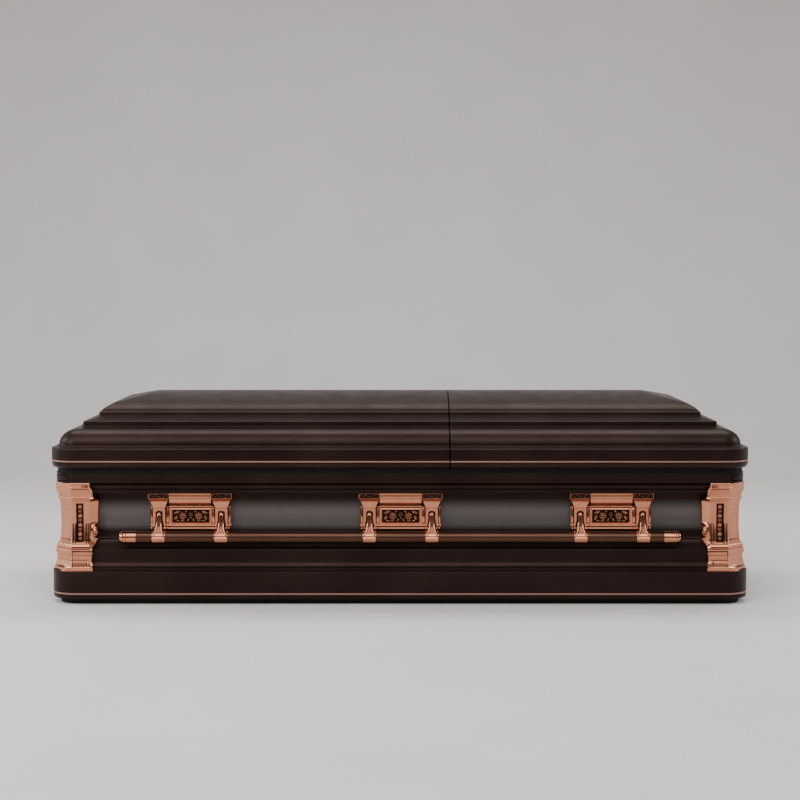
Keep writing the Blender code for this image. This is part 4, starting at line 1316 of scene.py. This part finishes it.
def relief_field(x0, x1, z0, z1, y, steps_x, steps_z, depth, ink):
    """A shallow closed tray with relief and inlay given by functions of (x, z)."""
    rows, masks = [], []
    for r in range(steps_z + 1):
        z = z0 + (z1 - z0) * r / steps_z
        row = [(x0, y + 0.004, z)]
        mask = [0.0]
        for c in range(steps_x + 1):
            x = x0 + (x1 - x0) * c / steps_x
            row.append((x, y - depth(x, z), z))
            mask.append(ink(x, z))
        row.append((x1, y + 0.004, z))
        mask.append(0.0)
        rows.append(row)
        masks.append(mask)
    return Skin().grid(rows, masks, caps=True)


def plate_levels():
    """Heights of a plate's foot, its capitals' necks, their inlaid blocks and its head."""
    sizes = group("handle")
    foot, head = low("front_plate_left"), high("front_plate_left")
    return foot, head - sizes.neck_drop, head - sizes.tray_drop, head


def plate_back():
    """Inset of the plates' backs."""
    return group("body").panel_inset - 0.002


def lug_skin():
    """One lug at x = 0: a slotted body under a moulded capital with a dark inlay."""
    sizes, body = group("handle"), group("body")
    foot, neck, cap_foot, head = plate_levels()
    pivot_z = middle_z("front_rod_left")
    half_y = body.width / 2
    wall = plate_back()
    half = sizes.lug_width / 2
    slot_half = sizes.slot_width / 2
    crown = pivot_z + sizes.stem_rise + 0.0050 - slot_half
    flare_top = foot + (head - foot) * 0.28

    def slot(z):
        if z <= flare_top:
            t = (flare_top - z) / (flare_top - foot + 0.004)
            return slot_half + (sizes.slot_flare / 2 - slot_half) * t ** 1.6
        if z <= crown:
            return slot_half
        if z < crown + slot_half:
            return math.sqrt(max(slot_half ** 2 - (z - crown) ** 2, 0.0))
        return 0.0

    heights = [foot, foot + 0.0004, foot + 0.0012, foot + 0.0018]
    heights += [foot + 0.0018 + (flare_top - foot - 0.0018) * i / 8 for i in range(1, 9)]
    heights += [flare_top + (crown - flare_top) * i / 4 for i in range(1, 5)]
    heights += [crown + slot_half * math.sin(math.pi / 2 * i / 10) for i in range(1, 11)]
    heights += [crown + slot_half + (neck - crown - slot_half) * i / 3 for i in range(1, 4)]
    skin = Skin()
    for sign in (-1, 1):
        rows = []
        for z in heights:
            h = slot(z)
            lip = 0.0012 * max(0.0, 1.0 - (z - foot) / 0.0012)
            front = sizes.lug_front + lip
            bevel = 0.0007
            inner_bevel = min(bevel, h)
            outer = [(half, wall + 0.006), (half, front + bevel * 1.5), (half, front + bevel),
                     (half - bevel * 0.3, front + bevel * 0.3), (half - bevel, front),
                     (half - bevel * 1.5, front)]
            rim = [(h + inner_bevel * 2.6, front), (h + inner_bevel * 2.2, front - 0.0006),
                   (h + inner_bevel * 1.2, front - 0.0007), (h + inner_bevel * 0.3, front - 0.0001),
                   (h, front + inner_bevel), (h, wall + 0.006 if h > 0 else front)]
            ring = [(sign * x, -(half_y - i), z) for x, i in outer + rim]
            rows.append(ring)
        skin.grid(rows, caps=True)
    wide = sizes.capital_width / 2

    def grow(z):
        t = min(max((z - neck) / (cap_foot - neck), 0.0), 1.0)
        return (wide - half - 0.0016) * t ** 1.25
    capital = shifted(sizes.lug_front, neck, (
        (0.002, -0.0045, 0.0), (0.002, -0.002, 0.001), (-0.0005, -0.0010, 0.0006),
        (-0.0015, 0.001, 0.001))) + shifted(sizes.capital_front, cap_foot, (
            (0.0032, -0.0085, 0.004), (0.0008, -0.0058, 0.0006), (0.0034, -0.0048, 0.0004),
            (0.0034, -0.0040, 0.0004), (0.0006, -0.0030, 0.0006), (0.0030, -0.0012, 0.0004),
            (0.0016, 0.0006, 0.0)))
    skin.join(moulded(capital, -half, half, wall + 0.006, grow))
    block = shifted(sizes.capital_front, cap_foot, ((0.001, 0.0, 0.0), (0.0, 0.0007, 0.0006)))
    block += shifted(sizes.capital_front, head, ((0.0, -0.0008, 0.0006), (0.001, 0.0, 0.0)))
    return skin.join(moulded(block, -wide, wide, wall))


def capital_tray(x):
    """Dark speckled inlay set in the face of a capital."""
    sizes, body = group("handle"), group("body")
    _, _, cap_foot, head = plate_levels()
    random.seed(int(abs(x) * 1000) + 7)
    wide = sizes.capital_width / 2 - 0.0015
    z0, z1 = cap_foot + 0.0012, head - 0.0008
    specks = [(random.uniform(x - wide, x + wide), random.uniform(z0, z1),
               random.uniform(0.0006, 0.0012)) for _ in range(34)]

    def speck(px, pz):
        return max([0.0] + [1.0 - math.hypot(px - sx, pz - sz) / r for sx, sz, r in specks])

    def depth(px, pz):
        return 0.0005 * min(speck(px, pz) * 2.0, 1.0)

    def ink(px, pz):
        return 0.0 if speck(px, pz) > 0.15 else 1.0
    y = -(body.width / 2 - sizes.capital_front) - 0.0002
    return relief_field(x - wide, x + wide, z0, z1, y, 60, 11, depth, ink)


def reed_skin(side, way, thick):
    """One upright reed beside a lug, and the ground that it stands on."""
    sizes, body = group("handle"), group("body")
    foot, neck, _, _ = plate_levels()
    low_end, high_end = foot + 0.0095, neck + 0.0010
    stations = []
    for i in range(13):
        angle = math.pi * i / 12
        end, way_in = (low_end, 1.0) if i <= 6 else (high_end, -1.0)
        stations.append((end + way_in * 0.0050 * (1 - abs(math.cos(angle))),
                         thick * math.sin(angle) + 1e-5))
    x = side * (sizes.lug_offset + way * (sizes.lug_width / 2 + thick - 0.0006))
    y = -(body.width / 2 - sizes.frame_front - 0.0005)
    skin = Skin().grid(turned(stations, x, y, 20, "Z"), caps=True)
    near = side * (sizes.lug_offset + way * sizes.lug_width / 2)
    far = near + side * way * thick * 1.9
    return skin.join(slab([(z, min(near, far), max(near, far), sizes.frame_front + 0.0045,
                            plate_back()) for z in (foot + 0.0010, neck + 0.0020)]))


def bridge_skin():
    """The moulded bridge between the two capitals of a plate."""
    sizes = group("handle")
    head = plate_levels()[-1]
    bridge_half = sizes.lug_offset - sizes.capital_width / 2 + 0.001
    bridge_front = sizes.lug_front - 0.004
    bridge = shifted(sizes.frame_front, head, (
        (-0.001, -0.0415, 0.0), (-0.003, -0.0395, 0.002), (-0.0062, -0.0345, 0.003),
        (-0.0085, -0.0325, 0.001)))
    bridge += shifted(bridge_front, head, (
        (0.0030, -0.0300, 0.0012), (0.0012, -0.0288, 0.0008), (0.0008, -0.0172, 0.0008),
        (0.0024, -0.0164, 0.0005), (0.0024, -0.0152, 0.0005), (0.0, -0.0144, 0.0008),
        (-0.0004, -0.0100, 0.002), (0.0, -0.0052, 0.0008), (0.0012, -0.0046, 0.0004),
        (0.0, -0.0038, 0.0005), (0.0, -0.0008, 0.0006), (0.001, 0.0, 0.0)))
    return moulded(bridge, -bridge_half, bridge_half, plate_back())


def rose_panel():
    """The framed panel between the lugs: a stepped border round an inlay with two roses."""
    sizes, body = group("handle"), group("body")
    foot, _, _, head = plate_levels()
    f_half = sizes.lug_offset - sizes.lug_width / 2 - 0.0124
    f_low, f_high = foot + 0.0022, head - 0.0400
    t_half, t_low, t_high = f_half - 0.0076, f_low + 0.0118, f_high - 0.0120
    y = -(body.width / 2 - sizes.frame_front)

    def inside(x, z, grow, soft=0.0008):
        return patch(x, z, -t_half - grow, t_half + grow, t_low - grow, t_high + grow, soft, soft)

    def depth(x, z):
        step = inside(x, z, 0.0062) - inside(x, z, 0.0050)
        bead = inside(x, z, 0.0026) - inside(x, z, 0.0010)
        brow = window(z, t_high + 0.0086, 1.0, 0.0030)
        return 0.0012 - 0.0009 * inside(x, z, 0.0056) - 0.0006 * step + 0.0010 * bead \
            - 0.0014 * inside(x, z, 0.0) + 0.0022 * brow

    def ink(x, z):
        return inside(x, z, -0.0003, 0.0006)
    skin = relief_field(-f_half, f_half, f_low, f_high, y, 150, 60, depth, ink)
    skin.join(slab([(z, -f_half, f_half, sizes.frame_front + 0.0030, plate_back())
                    for z in (f_low, f_high)]))
    floor_y = y + 0.0008
    mid = (t_low + t_high) / 2
    petals = []
    for side, seed in ((-1, 11), (1, 12)):
        petals += rose_places(side * sizes.rose_place, mid, floor_y, sizes.rose_radius, seed)
    for k in range(6):
        angle = 2 * math.pi * k / 6
        petals.append(((0.0015 * math.sin(angle), floor_y, mid + 0.0045 + 0.0015 * math.cos(angle)),
                       spin_of(angle), (0.0058, 0.0055, 0.0050)))
    leaves = []
    sprigs = (
        (0.0000, -0.0075, 0.0040, (58, 0)), (0.0062, -0.0132, 0.0066, (100, 20)),
        (0.0128, 0.0118, 0.0062, (75, 5)), (0.0430, 0.0066, 0.0102, (70, 10, -50)),
        (0.0372, 0.0142, 0.0058, (95, -95)), (0.0422, -0.0074, 0.0098, (115, 65, 10)),
        (0.0250, -0.0152, 0.0062, (95, -95)), (0.0395, -0.0150, 0.0058, (80, -95)))
    for x, rise, grow, turns in sprigs:
        for turn in turns:
            for side in (-1, 1):
                leaves.append(((side * x, floor_y, mid + rise), spin_of(math.radians(side * turn)),
                               (grow, grow, grow * 0.55)))
    motifs = foliage(petals, leaves)
    motifs.ink = [ANTIQUE] * len(motifs.points)
    return skin.join(motifs)


def plate_skin():
    """Double-lug plate at x = 0 on the front: lugs, reeds, bridge and rose panel."""
    offset = group("handle").lug_offset
    skin, lug = Skin(), lug_skin()
    for side in (-1, 1):
        skin.join(lug, move=(side * offset, 0.0, 0.0))
        skin.join(capital_tray(side * offset))
        for way, thick in ((-1, 0.0066), (1, 0.0050)):
            skin.join(reed_skin(side, way, thick))
    return skin.join(bridge_skin()).join(rose_panel())


def rod_skin():
    """Stretcher rod at x = 0 with a curled knob outside each lug and a collar inside it."""
    sizes, body = group("handle"), group("body")
    ends = BOXES["front_rod_left"]
    z = middle_z("front_rod_left")
    y = -(body.width / 2 - sizes.pivot_inset)
    half = (ends[1].x - ends[0].x) / 2
    r = sizes.rod_radius
    lug_in = sizes.lug_offset - sizes.lug_width / 2
    stations = [(0.0, r * 0.92), (0.004, r * 0.98)]
    stations += [(lug_in - back, r * share) for back, share in (
        (0.0090, 0.98), (0.0082, 1.45), (0.0065, 1.62), (0.0048, 1.45), (0.0040, 1.05))]
    stations += [(half - 0.0100, r), (half - 0.0092, r * 1.3), (half - 0.0084, r)]
    for i in range(7):
        a = math.pi * (i + 0.6) / 7
        stations.append((half - 0.0040 - 0.0040 * math.cos(a), r * 1.75 * math.sin(a) + 2e-5))
    rows = turned([(-x, radius) for x, radius in stations[:0:-1]] + stations, y, z, 20)
    return Skin().grid(rows, caps=True)


def hollow_ink(rise):
    """Inlay mask down an arm's hollow, by the height above the bar's middle."""
    for start, ink in ((0.026, 0.545), (0.009, 0.53), (0.0022, 0.58)):
        if rise > start:
            return ink
    return 1.0


def arm_trumpet():
    """The trumpet of a swing arm at x = 0 on the front, with a raised border and a hollow."""
    sizes, body = group("handle"), group("body")
    pivot_z, bar_z = middle_z("front_rod_left"), middle_z("front_bar")
    half_y = body.width / 2
    top = pivot_z + sizes.stem_rise
    end = bar_z + sizes.trumpet_foot
    cap = sizes.stem_width / 2
    wide = [(bar_z + rise, half) for rise, half in (
        (0.0010, 0.0204), (0.0070, 0.0203), (0.0131, 0.0190), (0.0200, 0.0153),
        (0.0342, 0.0110), (0.0500, 0.0088), (0.0640, 0.0075))] + [(top - cap, cap)]
    hollow = [(bar_z + rise, half) for rise, half in (
        (0.0010, 0.0172), (0.0040, 0.0162), (0.0131, 0.0105), (0.0220, 0.0066),
        (0.0342, 0.0045), (0.0500, 0.0033))] + [(top - cap, 0.0026)]
    front = [(bar_z + rise, inset) for rise, inset in (
        (0.0010, 0.0013), (0.0060, 0.0014), (0.0120, 0.0030), (0.0180, 0.0070),
        (0.0260, 0.0125), (0.0340, 0.0172), (0.0430, 0.0205))]
    front += [(pivot_z + 0.0290, 0.0228), (top - 0.006, 0.0252), (top, 0.0290)]
    heights = [end + (top - cap - end) * i / 46 for i in range(47)]
    heights += [top - cap + cap * math.sin(math.pi / 2 * i / 10) for i in range(1, 11)]
    slit_top = top - cap - 0.0030
    rows, masks = [], []
    for z in heights:
        if z > top - cap:
            w = math.sqrt(max(cap ** 2 - (z - top + cap) ** 2, 1e-10))
        else:
            w = between(wide, z)
        r = between(hollow, z) if z < slit_top else between(hollow, slit_top) * math.sqrt(
            max(1.0 - ((z - slit_top) / 0.0024) ** 2, 0.0))
        f = between(front, z)
        room = sizes.bar_inset - math.sqrt(max(sizes.bar_radius ** 2 - (z - bar_z) ** 2, 0.0))
        sunk = min(0.0030 * min(1.0, r / 0.0022), max(room - f - 0.0003, 0.0002))
        ring, mask = [], []
        count = 32
        for i in range(count + 1):
            x = -w + 2 * w * i / count
            a = abs(x)
            if a <= r:
                d = sunk * (1.0 - 0.30 * (a / max(r, 1e-6)) ** 4)
                mask.append(hollow_ink(z - bar_z))
            else:
                t = (a - r) / max(w - r, 1e-6)
                d = -0.0016 * math.sin(math.pi * min(t * 0.9 + 0.1, 1.0)) + 0.0034 * t ** 3 \
                    + sunk * 0.45 * max(0.0, 1 - t * 6)
                mask.append(0.0)
            ring.append((x, -(half_y - f - d), z))
        thick = 0.0085 - 0.0035 * window(z, top - 0.004, 1.0, 0.004)
        for i in range(9):
            x = w - 2 * w * i / 8
            ring.append((x * 0.96, -(half_y - f - thick + 0.0008 * (x / w) ** 2), z))
        rows.append(ring)
        masks.append(mask + [0.0] * 9)
    return Skin().grid(rows, masks, caps=True)


def arm_collar():
    """The collar of a swing arm round its bar, sunk where the trumpet lies on it."""
    sizes, body = group("handle"), group("body")
    bar_z = middle_z("front_bar")
    end = bar_z + sizes.trumpet_foot
    out, inner = sizes.collar_radius - 0.0004, sizes.bar_radius + CLEARANCE
    c = sizes.collar_width / 2
    y_bar = -(body.width / 2 - sizes.bar_inset)
    rim = [(c, inner), (c, out - 0.0016), (c - 0.0006, out - 0.0008), (c - 0.0018, out - 0.0003),
           (c - 0.0030, out - 0.0006), (c - 0.0040, out - 0.0008)]
    collar = [(-x, radius) for x, radius in rim] + rim[::-1]
    rows = []
    for row in turned(collar, y_bar, bar_z, 60):
        ring = []
        for x, y, z in row:
            away = math.hypot(y - y_bar, z - bar_z)
            if y < y_bar and z > end - 0.0008:
                shrink = min(1.0, (inner + 0.0004) / away)
                y, z = y_bar + (y - y_bar) * shrink, bar_z + (z - bar_z) * shrink
            ring.append((x, y, z))
        rows.append(ring)
    return Skin().grid(rows, close=True)


def arm_eye():
    """The eye of a swing arm round its rod, and the web that joins it to the trumpet."""
    sizes, body = group("handle"), group("body")
    pivot_z = middle_z("front_rod_left")
    eye_out, eye_in = 0.0062, sizes.rod_radius + 0.0004
    e = sizes.stem_width / 2 - 0.0010
    lip = [(e, eye_in), (e, eye_out - 0.0005), (e - 0.0005, eye_out)]
    eye = [(-x, radius) for x, radius in lip] + lip[::-1]
    skin = Skin().grid(turned(eye, -(body.width / 2 - sizes.pivot_inset), pivot_z, 24),
                       close=True)
    return skin.join(slab([(pivot_z + rise, -e * 0.8, e * 0.8, inset, 0.0312)
                           for rise, inset in ((-0.004, 0.0215), (0.004, 0.0235))], 0.0004))


def arm_skin():
    """Swing arm at x = 0 on the front."""
    return arm_trumpet().join(arm_collar()).join(arm_eye())


def cap_skin():
    """Domed end cap for the +X end of the front bar, with two rings before its dome."""
    sizes, body = group("handle"), group("body")
    box = BOXES["front_bar_cap_right"]
    bar_z = middle_z("front_bar")
    y = -(body.width / 2 - sizes.bar_inset)
    start, end = box[0].x, box[1].x
    r = sizes.cap_radius - 0.0008
    inner = sizes.bar_radius + CLEARANCE
    stations = [(end - 0.0125, 1e-5), (end - 0.0125, inner), (start, inner), (start, r - 0.0016),
                (start + 0.0006, r - 0.0008), (start + 0.0014, r - 0.0006)]
    stations += [(end - back, r + rise) for back, rise in (
        (0.0260, -0.0006), (0.0252, -0.0014), (0.0244, -0.0006), (0.0228, 0.0001),
        (0.0206, 0.0006), (0.0184, 0.0001), (0.0174, -0.0012), (0.0166, -0.0004),
        (0.0150, 0.0003), (0.0134, -0.0004), (0.0126, -0.0018))]
    for i in range(1, 9):
        a = math.pi / 2 * i / 8
        stations.append((end - 0.0122 * (1 - math.sin(a)), (r - 0.0022) * math.cos(a) + 1e-5))
    return Skin().grid(turned(stations, y, bar_z, 44), caps=True)


class CASKET_OT_handles(bpy.types.Operator):
    """Swing bars with their caps, arms, plates and rods, front and back"""
    bl_idname = "casket.handles"
    bl_label = "Swing bars and plates"

    def execute(self, context):
        sizes, body = group("handle"), group("body")
        bronze = look("satin_bronze")
        plate, rod, arm, cap = plate_skin(), rod_skin(), arm_skin(), cap_skin()
        for word, sign in (("front", 1), ("back", -1)):
            bar = BOXES[word + "_bar"]
            y = sign * -(body.width / 2 - sizes.bar_inset)
            rows = turned([(bar[0].x, 1e-5), (bar[0].x, sizes.bar_radius),
                           (bar[1].x, sizes.bar_radius), (bar[1].x, 1e-5)], y,
                          middle_z(word + "_bar"), 48)
            Skin().grid(rows, caps=True).make(word + "_bar_bronze", bronze, word + "_handle",
                                              [word + "_bar"], "bar_bronze")
            for end, side in (("left", -1), ("right", 1)):
                cast_piece(Skin().join(cap, flip=(side, sign)), word + "_bar_cap_" + end,
                           word + "_handle")
            for spot in SPOTS:
                for kind, skin in (("_plate_", plate), ("_rod_", rod)):
                    node = word + kind + spot
                    cast_piece(Skin().join(skin, (centre_x(node), 0.0, 0.0), (1, sign)), node)
                for number in ("_1", "_2"):
                    node = word + "_arm_" + spot + number
                    cast_piece(Skin().join(arm, (centre_x(node), 0.0, 0.0), (1, sign)), node,
                               word + "_handle")
        return {"FINISHED"}


def softbox(name, place, aim, width, height, power, tint=(1.0, 0.97, 0.94)):
    """A rectangular studio light aimed at a point."""
    data = bpy.data.lights.new(name, "AREA")
    data.shape = "RECTANGLE"
    data.size = width
    data.size_y = height
    data.energy = power
    data.color = tint
    lamp = bpy.data.objects.new(name, data)
    lamp.location = place
    lamp.rotation_euler = (Vector(aim) - Vector(place)).to_track_quat("-Z", "Y").to_euler()
    bpy.context.scene.collection.objects.link(lamp)
    return lamp


class CASKET_OT_stage(bpy.types.Operator):
    """Pale floor with painted shade towards the camera, soft studio light and the camera"""
    bl_idname = "casket.stage"
    bl_label = "Stage"

    def execute(self, context):
        scene = context.scene
        looks, body = group("looks"), group("body")
        mat, shader = new_look("studio_floor", IOR=1.4)
        tone = tuple(c * 0.96 for c in looks.floor)
        shade = tuple(c * 0.30 for c in looks.floor)
        pale = mixed(mat, remap(mat, noise(mat, 1.6, 4.0), 0.35, 0.65, 0.0, 1.0), looks.floor,
                     tone)
        place = shader_node(mat, "ShaderNodeSeparateXYZ", {"Vector": object_coords(mat)})
        # Painted shade: the floor darkens towards the camera, down to 30% of its pale tone.
        front = remap(mat, maths(mat, "MULTIPLY", place.outputs["Y"], -1.0), 2.7, 4.2, 0.0, 1.0)
        link(mat, mixed(mat, front, pale, shade), shader, "Base Color")
        link(mat, remap(mat, noise(mat, 8.0), 0.3, 0.7, 0.62, 0.72), shader, "Roughness")
        reach, bend_start, bend, wall_top = 9.0, 3.2, 1.8, 7.0
        line = [(-reach, 0.0), (bend_start, 0.0)]
        for i in range(1, 15):
            turn = math.pi / 2 * i / 14
            line.append((bend_start + bend * math.sin(turn), bend * (1 - math.cos(turn))))
        line.append((bend_start + bend, wall_top))
        rows = [[(x, y, z) for x in (-reach, reach)] for y, z in line]
        mesh = bpy.data.meshes.new("studio_sweep")
        points = [p for row in rows for p in row]
        mesh.from_pydata(points, [], [(2 * i, 2 * i + 1, 2 * i + 3, 2 * i + 2)
                                      for i in range(len(rows) - 1)])
        mesh.materials.append(mat)
        mesh.shade_smooth()
        floor = bpy.data.objects.new("studio_sweep", mesh)
        scene.collection.objects.link(floor)
        softbox("key_softbox", (-0.6, -3.4, 3.9), (0.0, 0.0, 0.3), 5.6, 3.4, 160.0)
        cool = (0.86, 0.87, 1.0)
        for word, side, over, beside in (("left", -1, 62.0, 10.0), ("right", 1, 50.0, 6.0)):
            softbox(word + "_softbox", (side * 4.1, -0.2, 2.0), (side * 0.9, -0.2, 0.5), 1.7, 1.3,
                    over, cool)
            softbox(word + "_panel", (side * 4.4, 0.4, 0.6), (side * 1.0, -0.3, 0.3), 1.6, 1.1,
                    beside, cool)
        softbox("flank_softbox", (-3.3, -2.7, 2.1), (-0.5, -0.3, 0.3), 0.9, 1.0, 46.0)
        softbox("top_softbox", (0.0, 1.1, 3.9), (0.0, 0.0, 0.3), 5.2, 1.4, 110.0)
        world = bpy.data.worlds.new("studio_air")
        world.use_nodes = True
        air = world.node_tree.nodes["Background"]
        air.inputs["Color"].default_value = (0.92, 0.90, 0.885, 1.0)
        way = shader_node(world, "ShaderNodeTexCoord").outputs["Generated"]
        rise = shader_node(world, "ShaderNodeSeparateXYZ", {"Vector": way}).outputs["Z"]
        glow = remap(world, rise, 0.02, 0.55, 0.14, 0.62)
        world.node_tree.links.new(glow, air.inputs["Strength"])
        scene.world = world
        camera = bpy.data.cameras.new("camera")
        sensor, focal_pixels, picture_width = 36.0, 1760.0, 800.0
        camera.sensor_width = sensor
        camera.lens = focal_pixels / picture_width * sensor
        viewer = bpy.data.objects.new("camera", camera)
        distance, eye_height, dip = 5.3, 1.0015, 4.06
        viewer.location = (0.0, -(body.width / 2 + distance), eye_height)
        viewer.rotation_euler = (math.radians(90.0 - dip), 0.0, 0.0)
        scene.collection.objects.link(viewer)
        scene.camera = viewer
        return {"FINISHED"}


OPERATORS = (CASKET_OT_base, CASKET_OT_side, CASKET_OT_rail, CASKET_OT_lids,
             CASKET_OT_ornaments, CASKET_OT_handles, CASKET_OT_stage)


class CASKET_PT_sidebar(bpy.types.Panel):
    """Lists the casket's pieces in the 3D view's sidebar"""
    bl_idname = "CASKET_PT_sidebar"
    bl_label = "Casket"
    bl_space_type = "VIEW_3D"
    bl_region_type = "UI"
    bl_category = "Casket"

    def draw(self, context):
        for cls in OPERATORS:
            self.layout.operator(cls.bl_idname)


def register():
    """Add the groups of sizes, the operators and the panel to Blender."""
    for key, cls in GROUPS.items():
        bpy.utils.register_class(cls)
        setattr(bpy.types.Scene, key, bpy.props.PointerProperty(type=cls))
    for cls in (*OPERATORS, CASKET_PT_sidebar):
        bpy.utils.register_class(cls)


def unregister():
    """Take them out again."""
    for cls in (CASKET_PT_sidebar, *OPERATORS[::-1]):
        bpy.utils.unregister_class(cls)
    for key, cls in GROUPS.items():
        delattr(bpy.types.Scene, key)
        bpy.utils.unregister_class(cls)


def main():
    """Make every piece and the stage."""
    register()
    bpy.ops.casket.base()
    bpy.ops.casket.side()
    bpy.ops.casket.rail()
    bpy.ops.casket.lids()
    bpy.ops.casket.ornaments()
    bpy.ops.casket.handles()
    bpy.ops.casket.stage()


if __name__ == "__main__":
    main()
